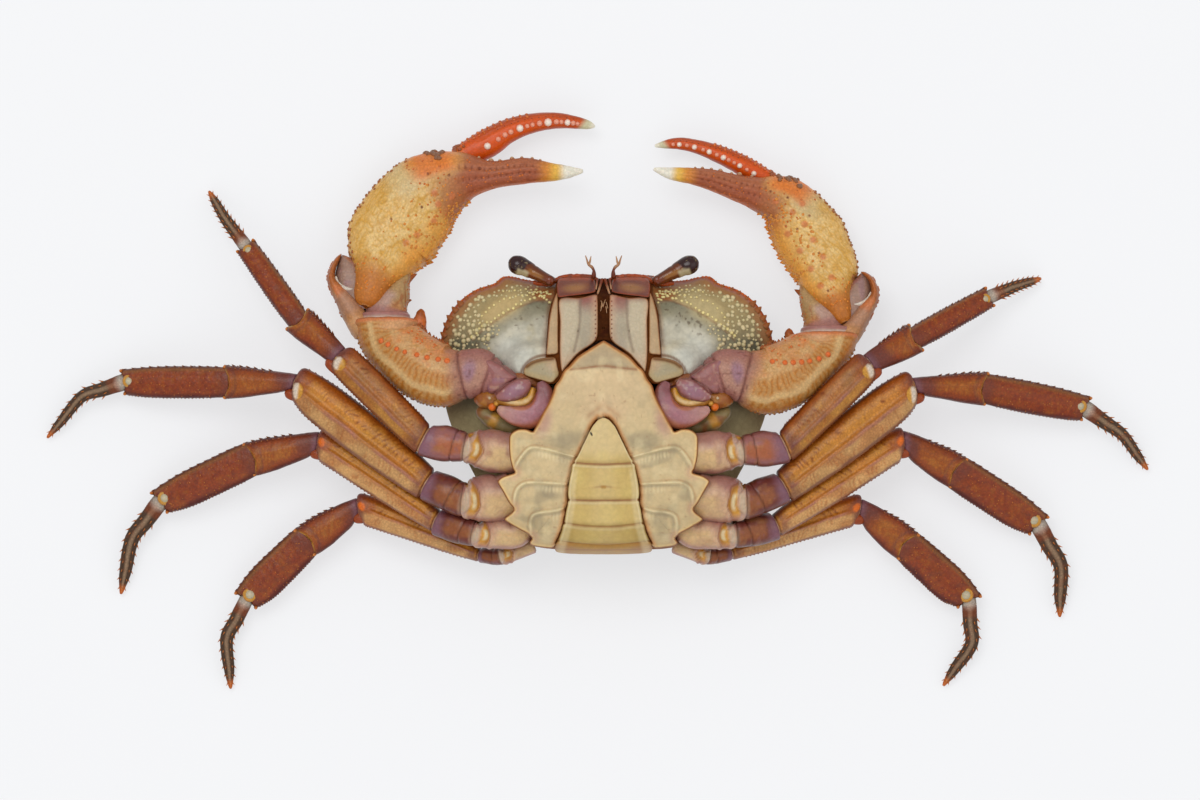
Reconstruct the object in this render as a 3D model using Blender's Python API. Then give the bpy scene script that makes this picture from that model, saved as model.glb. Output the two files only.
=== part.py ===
"""A freshwater crab, life size, lying on its back with its legs spread.

The model is still. Each shell piece of the body and of each limb is one closed
object. Sizes are in millimetres up to the moment a mesh is made, in metres.
+Y points to the front of the crab, +X to its left side, +Z is up, which is the
belly side, and the back of the shell rests on the floor at z = 0.
"""

import math

import bmesh
import bpy
import numpy as np

# Driving dimensions of the body, mm.
METRE_PER_MM = 0.001
GAP = 0.3
CARAPACE_MIDLINE = 1.5
BELLY_MIDLINE = 1.0
CARAPACE_CENTRE = (CARAPACE_MIDLINE, 0.5)
STERNUM_CENTRE = (BELLY_MIDLINE, -9.0)
REST_FLAT_SHARE = 0.3
RIM_HEIGHT = 8.7
RIM_REAR_FALL = 2.2
RIM_FRONT_FALL = 0.7
BACK_POWER = 2.1
BELLY_RISE = 1.4
BELLY_SIDE_RISE = 6.4
BELLY_FRONT_RISE = 3.2
CORE_TOP = 19.6
STERNUM_BOTTOM = CORE_TOP + GAP
STERNUM_RISES = (2.2, 3.2, 3.7)
MOUTH_SLOPE = 0.34
MOUTH_FRONT_Y = 17.8
MOUTH_FRONT_TOP = 16.4
MOUTH_THICKNESS = 2.6
EPISTOME_FRONT_Y = 20.3
EPISTOME_FRONT_BOTTOM = 9.7
EPISTOME_FRONT_TOP = 11.4
MOUTH_OPENING = 8.0
ORBIT_OPENING = 5.0
PLEON_OPENING = 3.0
CUP_OPENING = 4.3
SHARP_DEGREES = 38.0

# Half outlines in mm from the midline, from the front to the rear.
CARAPACE_HALF = [
    (0.0, 20.0), (4.0, 20.7), (7.6, 20.7), (8.8, 19.9), (12.6, 19.9), (16.7, 20.6), (18.6, 19.4),
    (21.3, 18.5), (23.4, 17.2), (25.2, 15.4), (26.6, 12.9), (27.4, 9.6), (27.3, 4.0), (26.4, -2.0),
    (24.9, -7.5), (22.8, -13.0), (19.2, -18.6), (14.2, -22.8), (9.6, -24.4), (0.0, -24.4),
]
STERNUM_HALF = [
    (0.0, 9.4), (2.8, 8.1), (5.6, 4.9), (7.6, 3.0), (8.5, 0.7), (10.2, -3.0), (11.6, -5.0),
    (13.4, -4.5), (15.2, -5.4), (15.4, -8.4), (14.8, -11.2), (16.4, -11.8), (17.6, -12.9),
    (16.6, -15.2), (15.0, -17.8), (16.2, -19.1), (14.4, -20.8), (12.0, -22.6), (11.4, -24.2),
    (0.0, -24.2),
]
MAXILLIPED_OUTLINE = [
    (1.0, 17.8), (1.0, 11.6), (2.1, 10.0), (4.9, 7.3), (7.0, 4.2), (8.2, 3.1), (10.0, 3.2),
    (12.2, 3.9), (13.4, 4.9), (11.4, 6.6), (9.5, 7.5), (9.1, 8.2), (7.7, 17.6),
]
EPISTOME_OUTLINE = [(8.0, 18.1), (8.0, 20.1), (0.9, 20.3), (-0.9, 20.3), (-8.0, 20.1), (-8.0, 18.1)]
PLEON_STATIONS = [
    (-3.0, 23.7, 0.6, 0.45), (-4.2, 23.8, 2.0, 0.6), (-7.0, 23.9, 3.4, 0.7), (-10.4, 23.9, 4.9, 0.8),
    (-13.4, 23.8, 5.7, 0.8), (-16.6, 23.6, 5.8, 0.8), (-20.4, 22.9, 6.4, 0.8), (-23.0, 21.4, 7.2, 0.8),
    (-24.8, 18.8, 7.9, 0.8), (-25.6, 15.4, 8.2, 0.8), (-25.6, 12.0, 8.0, 0.7),
]

# Walking legs. Heights of the six joints and the tip are shared by both sides, and so are the
# half widths and half depths of each piece, from its near end to its far end.
LEG_HEIGHTS = {
    2: [17.0, 17.2, 17.0, 15.0, 11.5, 5.6, 3.6, 1.2],
    3: [16.4, 16.0, 14.6, 11.8, 8.8, 4.2, 3.2, 1.1],
    4: [15.6, 14.6, 12.0, 8.8, 6.8, 3.7, 2.9, 1.0],
    5: [10.6, 10.2, 9.2, 6.2, 5.0, 3.5, 2.7, 0.9],
}
LEG_WIDTHS = {
    2: {
        "base": [3.4, 3.5, 2.5, 3.0, 2.7], "merus": [2.6, 2.7, 2.8, 2.8, 2.6],
        "carpus": [1.7, 2.1, 2.5, 2.6], "propodus": [1.9, 2.0, 1.9, 1.75],
        "dactylus": [1.15, 1.05, 0.9, 0.7, 0.25],
    },
    3: {
        "base": [3.4, 3.5, 2.6, 2.6, 2.4], "merus": [2.8, 3.4, 3.7, 3.6, 2.9],
        "carpus": [1.4, 1.9, 2.5, 2.8], "propodus": [2.5, 2.65, 2.55, 2.15],
        "dactylus": [1.4, 1.2, 1.0, 0.8, 0.25],
    },
    4: {
        "base": [2.0, 2.1, 1.8, 2.1, 1.9], "merus": [1.9, 2.3, 2.5, 2.6, 2.7],
        "carpus": [1.8, 2.3, 2.8, 2.9], "propodus": [2.9, 3.0, 2.9, 2.3],
        "dactylus": [1.45, 1.35, 1.2, 1.0, 0.25],
    },
    5: {
        "base": [1.2, 1.4, 1.3, 1.2, 1.1], "merus": [1.2, 1.7, 2.0, 2.4, 2.6],
        "carpus": [1.6, 2.3, 2.8, 2.8], "propodus": [2.8, 3.0, 3.0, 2.3],
        "dactylus": [1.2, 1.2, 1.1, 0.9, 0.25],
    },
}
LEG_DEPTHS = {
    "base": [3.2, 3.3, 2.5, 2.8, 2.5], "merus": [2.2, 2.4, 2.4, 2.3, 2.1],
    "carpus": [1.4, 1.8, 1.9, 1.8], "propodus": [1.5, 1.5, 1.4, 1.25],
    "dactylus": [0.95, 0.9, 0.8, 0.65, 0.25],
}
DEPTH_SHARE = {2: 1.0, 3: 1.0, 4: 0.88, 5: 0.72}
LEG_PIECES = ["base", "merus", "carpus", "propodus", "dactylus"]
SPINES_ON = {"carpus": 4, "propodus": 6, "dactylus": 5}
SPINE_LENGTH = {"carpus": 0.55, "propodus": 0.6, "dactylus": 1.0}
SPINE_RADIUS = 0.28
SPINE_SUNK = 0.25
TOOTH_SUNK = 0.4

# Joint places of each leg in plan, mm: root, coxa, merus, carpus, propodus, dactylus, a point
# half way along the dactylus, and the tip; then the way its root faces, in degrees from +X.
LEG_PLANS = {
    ("right", 2): ([(-15.0, -8.5), (-21.4, -7.6), (-28.6, -6.4), (-42.5, 7.3), (-49.4, 13.4),
                    (-58.2, 25.6), (-61.7, 30.3), (-64.4, 34.8)], 180.0),
    ("right", 3): ([(-15.4, -15.8), (-22.0, -16.2), (-28.1, -13.7), (-49.7, 3.1), (-61.5, 3.1),
                    (-78.5, 3.1), (-85.4, 0.7), (-91.2, -6.1)], 205.0),
    ("right", 4): ([(-13.4, -21.6), (-19.4, -21.8), (-26.5, -19.8), (-46.0, -6.8), (-57.5, -9.7),
                    (-72.5, -16.8), (-77.1, -22.9), (-79.0, -32.0)], 230.0),
    ("right", 5): ([(-13.6, -24.9), (-16.6, -25.6), (-19.4, -25.4), (-39.5, -17.5), (-48.4, -23.4),
                    (-58.2, -33.0), (-61.4, -39.4), (-60.8, -47.7)], 200.0),
    ("left", 2): ([(17.0, -8.6), (23.5, -8.1), (30.8, -7.6), (44.6, 6.1), (52.4, 10.4),
                   (64.8, 17.2), (69.2, 19.0), (73.5, 20.3)], 0.0),
    ("left", 3): ([(17.4, -15.8), (24.5, -16.5), (30.6, -14.2), (52.1, 2.5), (64.1, 2.0),
                   (80.8, -1.3), (86.9, -5.6), (91.2, -11.4)], -25.0),
    ("left", 4): ([(15.5, -21.6), (22.4, -21.9), (29.3, -20.6), (50.4, -6.6), (59.6, -11.9),
                   (73.0, -20.6), (76.7, -27.4), (76.6, -35.8)], -50.0),
    ("left", 5): ([(15.7, -24.9), (18.6, -25.5), (22.0, -25.1), (43.3, -17.7), (51.4, -24.1),
                   (61.5, -33.2), (61.9, -40.3), (57.3, -47.2)], -20.0),
}

# Claw limbs: x, y, z, half width and half depth at stations from the near end to the far end.
CLAWS = {
    "right": {
        "root_facing": 156.0,
        "base": [(-9.6, -1.0, 17.6, 3.9, 3.3), (-12.6, 0.2, 17.6, 3.7, 3.6), (-16.4, 3.6, 16.6, 2.7, 3.2)],
        "merus": [
            (-16.4, 3.7, 16.5, 2.7, 3.2), (-19.4, 4.5, 16.3, 4.1, 3.6), (-22.4, 4.3, 15.9, 4.1, 3.9),
            (-25.3, 4.1, 15.1, 5.1, 4.4), (-28.8, 5.4, 13.9, 5.3, 4.8), (-31.9, 7.8, 12.4, 5.1, 4.8),
            (-34.2, 10.4, 10.9, 5.2, 4.6), (-34.9, 13.4, 9.6, 5.4, 4.4),
        ],
        "carpus": [
            (-35.5, 13.4, 9.2, 5.0, 4.2), (-36.8, 15.8, 8.0, 6.7, 4.6), (-37.5, 19.1, 7.2, 6.8, 4.3),
            (-37.2, 20.6, 6.9, 5.9, 3.4),
        ],
        "palm": [
            (-38.9, 16.0, 8.4, 1.65, 1.6), (-38.2, 18.6, 7.8, 4.3, 3.6), (-36.7, 22.1, 6.4, 6.1, 4.4),
            (-33.7, 27.4, 4.7, 7.5, 4.9), (-28.5, 34.0, 5.0, 6.8, 4.7), (-23.0, 36.8, 6.4, 4.6, 3.8),
            (-17.7, 37.3, 7.6, 2.4, 2.4), (-12.0, 38.0, 8.1, 2.15, 2.0), (-7.8, 37.8, 8.2, 1.55, 1.6),
            (-4.9, 37.8, 8.1, 1.05, 1.1), (-2.4, 38.0, 7.9, 0.3, 0.35),
        ],
        "dactylus": [
            (-23.6, 40.0, 4.6, 1.7, 1.7), (-18.6, 42.4, 4.4, 2.4, 2.2), (-14.9, 44.6, 4.3, 2.0, 2.1),
            (-11.1, 45.9, 4.2, 1.65, 1.8), (-7.0, 46.4, 4.1, 1.35, 1.5), (-3.7, 46.1, 4.0, 1.05, 1.2),
            (-1.6, 45.7, 4.0, 0.75, 0.8), (-0.4, 45.4, 4.0, 0.25, 0.3),
        ],
    },
    "left": {
        "root_facing": 24.0,
        "base": [(11.6, -1.0, 17.6, 3.9, 3.3), (14.4, 0.2, 17.6, 3.7, 3.6), (18.2, 3.6, 16.6, 2.7, 3.2)],
        "merus": [
            (18.2, 3.7, 16.5, 2.8, 3.2), (20.9, 4.4, 16.3, 4.1, 3.6), (23.8, 4.0, 15.9, 4.4, 3.9),
            (27.5, 3.3, 15.1, 5.5, 4.4), (31.3, 4.6, 13.9, 5.4, 4.8), (34.1, 6.9, 12.4, 4.7, 4.8),
            (36.4, 9.1, 10.9, 4.8, 4.6), (37.3, 11.2, 9.6, 5.2, 4.4),
        ],
        "carpus": [
            (38.0, 11.2, 9.2, 5.1, 4.2), (39.6, 13.7, 8.0, 6.5, 4.7), (40.2, 17.0, 7.1, 6.4, 4.6),
            (39.8, 18.6, 6.8, 5.6, 3.7),
        ],
        "palm": [
            (41.3, 13.6, 8.4, 1.65, 1.6), (40.5, 16.2, 7.6, 3.8, 3.4), (38.5, 21.9, 5.6, 5.6, 4.3),
            (34.7, 27.7, 4.4, 5.9, 4.6), (30.9, 32.7, 4.9, 4.5, 4.1), (26.3, 34.3, 6.2, 2.8, 3.1),
            (22.7, 35.3, 7.0, 2.15, 2.4), (18.9, 36.5, 7.6, 1.75, 1.9), (15.3, 37.2, 7.9, 1.35, 1.6),
            (12.0, 37.6, 8.0, 1.0, 1.1), (9.3, 38.3, 7.8, 0.3, 0.35),
        ],
        "dactylus": [
            (29.6, 35.9, 4.3, 1.3, 1.4), (25.2, 38.3, 4.3, 1.7, 1.9), (22.4, 39.8, 4.2, 1.6, 1.9),
            (19.4, 41.1, 4.2, 1.4, 1.7), (16.4, 42.1, 4.1, 1.15, 1.4), (13.6, 42.6, 4.0, 1.0, 1.1),
            (11.5, 42.5, 4.0, 0.75, 0.8), (9.5, 42.2, 4.0, 0.25, 0.3),
        ],
    },
}
SIDES = {"right": -1.0, "left": 1.0}

# Colours of the shell pieces, linear, with their roughness.
COLOURS = {
    "carapace": ((0.30, 0.27, 0.19), 0.45), "sternum": ((0.66, 0.50, 0.33), 0.5),
    "pleon": ((0.60, 0.50, 0.26), 0.5), "epistome": ((0.20, 0.06, 0.03), 0.45),
    "maxilliped": ((0.60, 0.52, 0.44), 0.45), "eye": ((0.05, 0.045, 0.035), 0.25),
    "antennule": ((0.22, 0.10, 0.05), 0.5), "base": ((0.50, 0.27, 0.24), 0.4),
    "merus": ((0.42, 0.20, 0.07), 0.4), "carpus": ((0.28, 0.08, 0.03), 0.4),
    "propodus": ((0.25, 0.06, 0.025), 0.4), "dactylus": ((0.08, 0.045, 0.02), 0.45),
    "claw_merus": ((0.60, 0.32, 0.14), 0.4), "claw_carpus": ((0.55, 0.24, 0.10), 0.4),
    "claw_palm": ((0.66, 0.38, 0.11), 0.4), "claw_dactylus": ((0.68, 0.14, 0.03), 0.35),
}


def clear_scene():
    for item in list(bpy.data.objects):
        bpy.data.objects.remove(item, do_unlink=True)


def shell_material(name, kind):
    colour, roughness = COLOURS[kind]
    material = bpy.data.materials.new(name)
    material.use_nodes = True
    shader = material.node_tree.nodes["Principled BSDF"]
    shader.inputs["Base Color"].default_value = (*colour, 1.0)
    shader.inputs["Roughness"].default_value = roughness
    shader.inputs["Metallic"].default_value = 0.0
    return material


def smoothstep(low, high, value):
    share = min(max((value - low) / (high - low), 0.0), 1.0)
    return share * share * (3.0 - 2.0 * share)


def smooth_rows(rows, steps):
    """Rows of numbers joined by a Catmull-Rom curve, with steps between two rows."""
    rows = np.array(rows, dtype=float)
    padded = np.vstack([2 * rows[0] - rows[1], rows, 2 * rows[-1] - rows[-2]])
    result = []
    for index in range(1, len(padded) - 2):
        before, start, end, after = padded[index - 1:index + 3]
        for step in range(steps):
            t = step / steps
            result.append(0.5 * (
                2 * start + (end - before) * t
                + (2 * before - 5 * start + 4 * end - after) * t ** 2
                + (3 * start - before - 3 * end + after) * t ** 3
            ))
    result.append(rows[-1])
    return np.array(result)


def unit(vector):
    return vector / np.linalg.norm(vector)


class Limb:
    """A tapering piece: oval rings swept along a smooth line of stations."""

    def __init__(self, stations, steps, squareness=2.3, across=None):
        rows = smooth_rows(stations, steps)
        self.centre = rows[:, 0:3]
        self.half_width = np.maximum(rows[:, 3], 0.2)
        self.half_depth = np.maximum(rows[:, 4], 0.2)
        self.squareness = squareness
        tangents = np.gradient(self.centre, axis=0)
        self.tangent = np.array([unit(row) for row in tangents])
        if across is None:
            self.side = np.array([unit(np.cross(row, (0.0, 0.0, 1.0))) for row in self.tangent])
        else:
            self.side = np.array([across for row in self.tangent], dtype=float)
        self.up = np.array([unit(np.cross(s, t)) for s, t in zip(self.side, self.tangent)])

    def point(self, ring, angle):
        """A point of the surface; the angle is 0 at the side and 90 degrees at the top."""
        power = 2.0 / self.squareness
        cosine = math.cos(angle)
        sine = math.sin(angle)
        along = math.copysign(abs(cosine) ** power, cosine) * self.half_width[ring]
        above = math.copysign(abs(sine) ** power, sine) * self.half_depth[ring]
        return self.centre[ring] + self.side[ring] * along + self.up[ring] * above

    def outward(self, ring, angle):
        return unit(
            self.side[ring] * math.cos(angle) / self.half_width[ring]
            + self.up[ring] * math.sin(angle) / self.half_depth[ring]
        )

    def face(self, ring, normal):
        """Turns one ring so that it lies in a plane with the given normal."""
        self.tangent[ring] = unit(np.array(normal, dtype=float))
        self.side[ring] = unit(np.cross(self.tangent[ring], (0.0, 0.0, 1.0)))
        self.up[ring] = np.cross(self.side[ring], self.tangent[ring])

    def place(self, share, angle):
        """A point of the surface at a share of the length, the way outward and the way along."""
        at = share * (len(self.centre) - 1)
        low = min(int(at), len(self.centre) - 2)
        rest = at - low
        point = self.point(low, angle) * (1.0 - rest) + self.point(low + 1, angle) * rest
        outward = self.outward(low, angle) * (1.0 - rest) + self.outward(low + 1, angle) * rest
        along = self.tangent[low] * (1.0 - rest) + self.tangent[low + 1] * rest
        return point, unit(outward), unit(along)

    def rings(self, count):
        angles = [2.0 * math.pi * index / count for index in range(count)]
        return [[self.point(ring, angle) for angle in angles] for ring in range(len(self.centre))]

    def grown(self, by, raised=0.0):
        """The same piece, larger all round, and reaching higher by a given amount."""
        copy = Limb.__new__(Limb)
        copy.centre = self.centre + self.up * raised / 2.0
        copy.half_width = self.half_width + by
        copy.half_depth = self.half_depth + by + raised / 2.0
        copy.squareness = self.squareness
        copy.tangent = self.tangent
        copy.side = self.side
        copy.up = self.up
        copy.centre[0] -= self.tangent[0] * by
        copy.centre[-1] += self.tangent[-1] * by
        return copy


def hold_beyond(rings, tangents, place, normal, spacing=0.1):
    """Moves ring points that lie behind a plane on to it, so the end meets a joint face."""
    normal = unit(np.array(normal, dtype=float))
    place = np.array(place, dtype=float)
    for number, (ring, tangent) in enumerate(zip(rings, tangents)):
        least = number * spacing
        slope = float(np.dot(tangent, normal))
        for index, point in enumerate(ring):
            distance = float(np.dot(point - place, normal))
            if number == 0 or distance < least:
                ring[index] = point + tangent * (least - distance) / slope


def mesh_from_rings(name, rings, floor=None, fanned=False):
    """A closed mesh from rings of equal count, with flat ends or ends fanned to a middle point."""
    mesh = bmesh.new()
    rows = []
    for ring in rings:
        row = []
        for point in ring:
            x, y, z = point
            if floor is not None:
                z = max(z, floor)
            row.append(mesh.verts.new((x * METRE_PER_MM, y * METRE_PER_MM, z * METRE_PER_MM)))
        rows.append(row)
    count = len(rows[0])
    for low, high in zip(rows, rows[1:]):
        for index in range(count):
            after = (index + 1) % count
            mesh.faces.new((low[index], low[after], high[after], high[index]))
    for row, ring in ((list(reversed(rows[0])), rings[0]), (rows[-1], rings[-1])):
        if fanned:
            middle = mesh.verts.new(np.mean(ring, axis=0) * METRE_PER_MM)
            for index in range(count):
                mesh.faces.new((row[index], row[(index + 1) % count], middle))
        else:
            mesh.faces.new(row)
    bmesh.ops.recalc_face_normals(mesh, faces=mesh.faces)
    data = bpy.data.meshes.new(name)
    mesh.to_mesh(data)
    mesh.free()
    return data


def limb_mesh(name, limb, count, start=None, end=None, floor=None):
    """The mesh of a limb piece, whose ends may lie in joint planes (place, normal)."""
    if start is not None:
        limb.face(0, start[1])
    if end is not None:
        limb.face(-1, end[1])
    rings = limb.rings(count)
    if start is not None:
        hold_beyond(rings, limb.tangent, *start)
    if end is not None:
        place, normal = end
        backwards = [-tangent for tangent in limb.tangent[::-1]]
        ends = rings[::-1]
        hold_beyond(ends, backwards, place, -np.array(normal))
        rings = ends[::-1]
    return mesh_from_rings(name, rings, floor)


def clearance(name, limb, count, raised=0.0):
    """Cutters that leave a gap round a limb piece, and open the way above it."""
    cutters = [limb_mesh(name, limb.grown(GAP), count)]
    if raised:
        cutters.append(limb_mesh(name, limb.grown(GAP, raised), count))
    return cutters


def spike_mesh(root, direction, length, radius, sides=4, blunt=0.0):
    """A tapering spine with a sharp tip, or a tooth that ends in a small flat."""
    direction = unit(np.array(direction, dtype=float))
    helper = np.array((0.0, 0.0, 1.0)) if abs(direction[2]) < 0.9 else np.array((1.0, 0.0, 0.0))
    first = unit(np.cross(direction, helper))
    second = np.cross(direction, first)
    mesh = bmesh.new()
    rows = []
    for along, size in ((0.0, radius), (length, radius * blunt)):
        if size == 0.0:
            tip = np.array(root) + direction * along
            rows.append([mesh.verts.new(tip * METRE_PER_MM)])
            continue
        row = []
        for index in range(sides):
            angle = 2.0 * math.pi * index / sides
            offset = (first * math.cos(angle) + second * math.sin(angle)) * size
            row.append(mesh.verts.new((np.array(root) + direction * along + offset) * METRE_PER_MM))
        rows.append(row)
    low, high = rows
    for index in range(sides):
        after = (index + 1) % sides
        if len(high) == 1:
            mesh.faces.new((low[index], low[after], high[0]))
        else:
            mesh.faces.new((low[index], low[after], high[after], high[index]))
    mesh.faces.new(list(reversed(low)))
    if len(high) > 1:
        mesh.faces.new(high)
    bmesh.ops.recalc_face_normals(mesh, faces=mesh.faces)
    data = bpy.data.meshes.new("spike")
    mesh.to_mesh(data)
    mesh.free()
    return data


def keep_largest(data):
    """Keeps the closed surface with the most room inside and drops the others."""
    mesh = bmesh.new()
    mesh.from_mesh(data)
    bmesh.ops.remove_doubles(mesh, verts=mesh.verts, dist=1e-6)
    unseen = set(mesh.faces)
    groups = []
    while unseen:
        group = [unseen.pop()]
        for face in group:
            for edge in face.edges:
                for neighbour in edge.link_faces:
                    if neighbour in unseen:
                        unseen.remove(neighbour)
                        group.append(neighbour)
        size = sum(face.calc_area() * face.normal.dot(face.calc_center_median()) for face in group)
        groups.append((abs(size), group))
    groups.sort(key=lambda item: item[0])
    loose = [face for size, group in groups[:-1] for face in group]
    bmesh.ops.delete(mesh, geom=loose, context="FACES")
    bmesh.ops.triangulate(mesh, faces=mesh.faces)
    mesh.to_mesh(data)
    mesh.free()


def is_closed(data):
    mesh = bmesh.new()
    mesh.from_mesh(data)
    closed = len(mesh.edges) > 0 and all(len(edge.link_faces) == 2 for edge in mesh.edges)
    mesh.free()
    return closed


def combine(item, meshes, operation):
    """Applies one Boolean between an object and a group of closed meshes."""
    group = bpy.data.collections.new("group")
    bpy.context.scene.collection.children.link(group)
    for number, data in enumerate(meshes):
        helper = bpy.data.objects.new(f"helper_{number}", data)
        helper.hide_render = True
        helper.display_type = "WIRE"
        group.objects.link(helper)
    boolean = item.modifiers.new("combine", "BOOLEAN")
    boolean.operand_type = "COLLECTION"
    boolean.collection = group
    boolean.operation = operation
    for solver in ("EXACT", "MANIFOLD"):
        boolean.solver = solver
        bpy.context.view_layer.update()
        graph = bpy.context.evaluated_depsgraph_get()
        result = bpy.data.meshes.new_from_object(item.evaluated_get(graph))
        if is_closed(result):
            break
    item.modifiers.clear()
    item.data = result
    for helper in list(group.objects):
        bpy.data.objects.remove(helper, do_unlink=True)
    bpy.data.collections.remove(group)


def add_node(name, kind, data, added=(), removed=()):
    """One shell piece: its own mesh, what is fused to it, and what is cut from it."""
    item = bpy.data.objects.new(name, data)
    bpy.context.scene.collection.objects.link(item)
    if added:
        combine(item, added, "UNION")
    if removed:
        combine(item, removed, "DIFFERENCE")
    item.data.name = name
    keep_largest(item.data)
    item.data.materials.clear()
    item.data.materials.append(shell_material(name, kind))
    item.data.shade_smooth()
    item.data.set_sharp_from_angle(angle=math.radians(SHARP_DEGREES))
    return item


def mirrored(half):
    """A whole outline from its half: down the left side and up the right side."""
    right = [(-x, y) for x, y in reversed(half) if x > 0.0]
    return list(half) + right


def closed_curve(outline, steps):
    """A smooth closed outline through its points, with steps between two points."""
    rows = list(outline)
    padded = np.array([rows[-1]] + rows + rows[:2], dtype=float)
    return smooth_rows(padded, steps)[steps:-steps - 1]


def disc_mesh(name, outline, centre, levels):
    """A body of rings: each level is a share of the outline and a height rule."""
    rings = []
    for share, height in levels:
        ring = []
        for point in outline:
            x, y = towards(centre, point, share)
            ring.append((x, y, height(x, y) if callable(height) else height))
        rings.append(ring)
    return mesh_from_rings(name, rings, fanned=True)


def shifted(outline, by):
    return [(x + by, y) for x, y in outline]


def offset_outline(outline, by):
    """The outline moved outward along its own normals."""
    points = np.array(outline, dtype=float)
    before = np.roll(points, 1, axis=0)
    after = np.roll(points, -1, axis=0)
    area = np.sum(points[:, 0] * after[:, 1] - after[:, 0] * points[:, 1])
    turn = 1.0 if area > 0 else -1.0
    result = []
    for first, middle, last in zip(before, points, after):
        one = unit(middle - first)
        two = unit(last - middle)
        normal_one = np.array((one[1], -one[0])) * turn
        normal_two = np.array((two[1], -two[0])) * turn
        middle_normal = unit(normal_one + normal_two)
        stretch = by / max(float(np.dot(middle_normal, normal_one)), 0.5)
        result.append(tuple(middle + middle_normal * stretch))
    return result


def rim_height(y):
    """Height of the carapace margin: lowest behind, highest at the sides."""
    rear = RIM_REAR_FALL * smoothstep(-10.0, -24.0, y)
    front = RIM_FRONT_FALL * smoothstep(13.0, 20.0, y)
    return RIM_HEIGHT - rear - front


def belly_rise(x, y):
    """How far the belly side rises from the margin towards the mouth, and how fast."""
    angle = math.degrees(math.atan2(y, abs(x)))
    side_wall = smoothstep(10.0, 27.0, angle)
    front = smoothstep(35.0, 75.0, angle)
    return BELLY_RISE + side_wall * (BELLY_SIDE_RISE + BELLY_FRONT_RISE * front), 2.5 + 2.6 * front


def towards(centre, point, share):
    """A point of an outline drawn in towards a centre."""
    return tuple(middle + (value - middle) * share for middle, value in zip(centre, point))


def carapace_node(cutters):
    outline = shifted(mirrored(CARAPACE_HALF), CARAPACE_MIDLINE)
    rings = []
    back_shares = (REST_FLAT_SHARE, 0.48, 0.64, 0.78, 0.90, 0.975)
    belly_shares = (1.0, 0.965, 0.90, 0.82, 0.72, 0.60, 0.45)
    for share in back_shares:
        rise = ((share - REST_FLAT_SHARE) / (1.0 - REST_FLAT_SHARE)) ** BACK_POWER
        rings.append([
            (*towards(CARAPACE_CENTRE, point, share), rim_height(point[1]) * rise * 0.97)
            for point in outline
        ])
    for share in belly_shares:
        ring = []
        for x, y in outline:
            rise, power = belly_rise(x - CARAPACE_MIDLINE, y)
            height = rim_height(y) + rise * (1.0 - share ** power)
            ring.append((*towards(CARAPACE_CENTRE, (x, y), share), height))
        rings.append(ring)
    body = mesh_from_rings("carapace", rings, fanned=True)
    core_outline = shifted(mirrored(STERNUM_HALF), BELLY_MIDLINE)
    core_levels = [(0.7, 5.0), (0.94, 8.0), (0.94, CORE_TOP)]
    core = disc_mesh("core", core_outline, STERNUM_CENTRE, core_levels)
    item = bpy.data.objects.new("carapace", body)
    bpy.context.scene.collection.objects.link(item)
    combine(item, [core], "UNION")
    data = item.data
    bpy.data.objects.remove(item, do_unlink=True)
    add_node("carapace", "carapace", data, margin_teeth(outline), cutters)


def margin_teeth(outline):
    """Small teeth along the front half of the margin, and one at each front corner."""
    teeth = []
    fine = closed_curve(outline, 3)
    places = [(x, y) for x, y in fine if y > 8.5 and abs(x - CARAPACE_MIDLINE) > 16.0]
    for x, y in places:
        outward = unit(np.array((x - CARAPACE_CENTRE[0], (y - CARAPACE_CENTRE[1]) * 1.3, 0.0)))
        root = np.array((x, y, rim_height(y) + 0.1)) - outward * 0.5
        forward = outward + np.array((0.0, 0.5, 0.0))
        teeth.append(spike_mesh(root, forward, 1.3, 0.55, blunt=0.25))
    for side in SIDES.values():
        root = (CARAPACE_MIDLINE + side * 20.4, 18.3, rim_height(18.3) + 0.1)
        teeth.append(spike_mesh(root, (side * 0.6, 0.9, 0.0), 1.7, 0.8, blunt=0.3))
    return teeth


def mouth_height(y):
    return MOUTH_FRONT_TOP + (MOUTH_FRONT_Y - y) * MOUTH_SLOPE


def maxilliped_mesh(side, grown=0.0):
    outline = [(side * x + BELLY_MIDLINE, y) for x, y in MAXILLIPED_OUTLINE]
    if grown:
        outline = offset_outline(outline, grown)
    centre = (side * 6.0 + BELLY_MIDLINE, 7.6)
    raised = MOUTH_OPENING if grown else 0.0

    def under(x, y):
        return mouth_height(y) - MOUTH_THICKNESS - grown

    def over(x, y):
        return mouth_height(y) + raised

    if grown:
        levels = [(1.0, under), (1.0, over)]
    else:
        levels = [
            (0.96, under), (1.0, lambda x, y: under(x, y) + 0.4),
            (1.0, lambda x, y: over(x, y) - 0.5), (0.93, over),
        ]
    return disc_mesh("maxilliped", outline, centre, levels)


def epistome_mesh(grown=0.0):
    outline = shifted(EPISTOME_OUTLINE, BELLY_MIDLINE)
    if grown:
        outline = offset_outline(outline, grown)
    raised = MOUTH_OPENING if grown else 0.0

    def under(x, y):
        return EPISTOME_FRONT_BOTTOM + (EPISTOME_FRONT_Y - y) * 0.9 - grown

    def over(x, y):
        return EPISTOME_FRONT_TOP + (EPISTOME_FRONT_Y - y) * 1.9 + raised

    return disc_mesh("epistome", outline, (BELLY_MIDLINE, 19.2), [(1.0, under), (1.0, over)])


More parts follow.
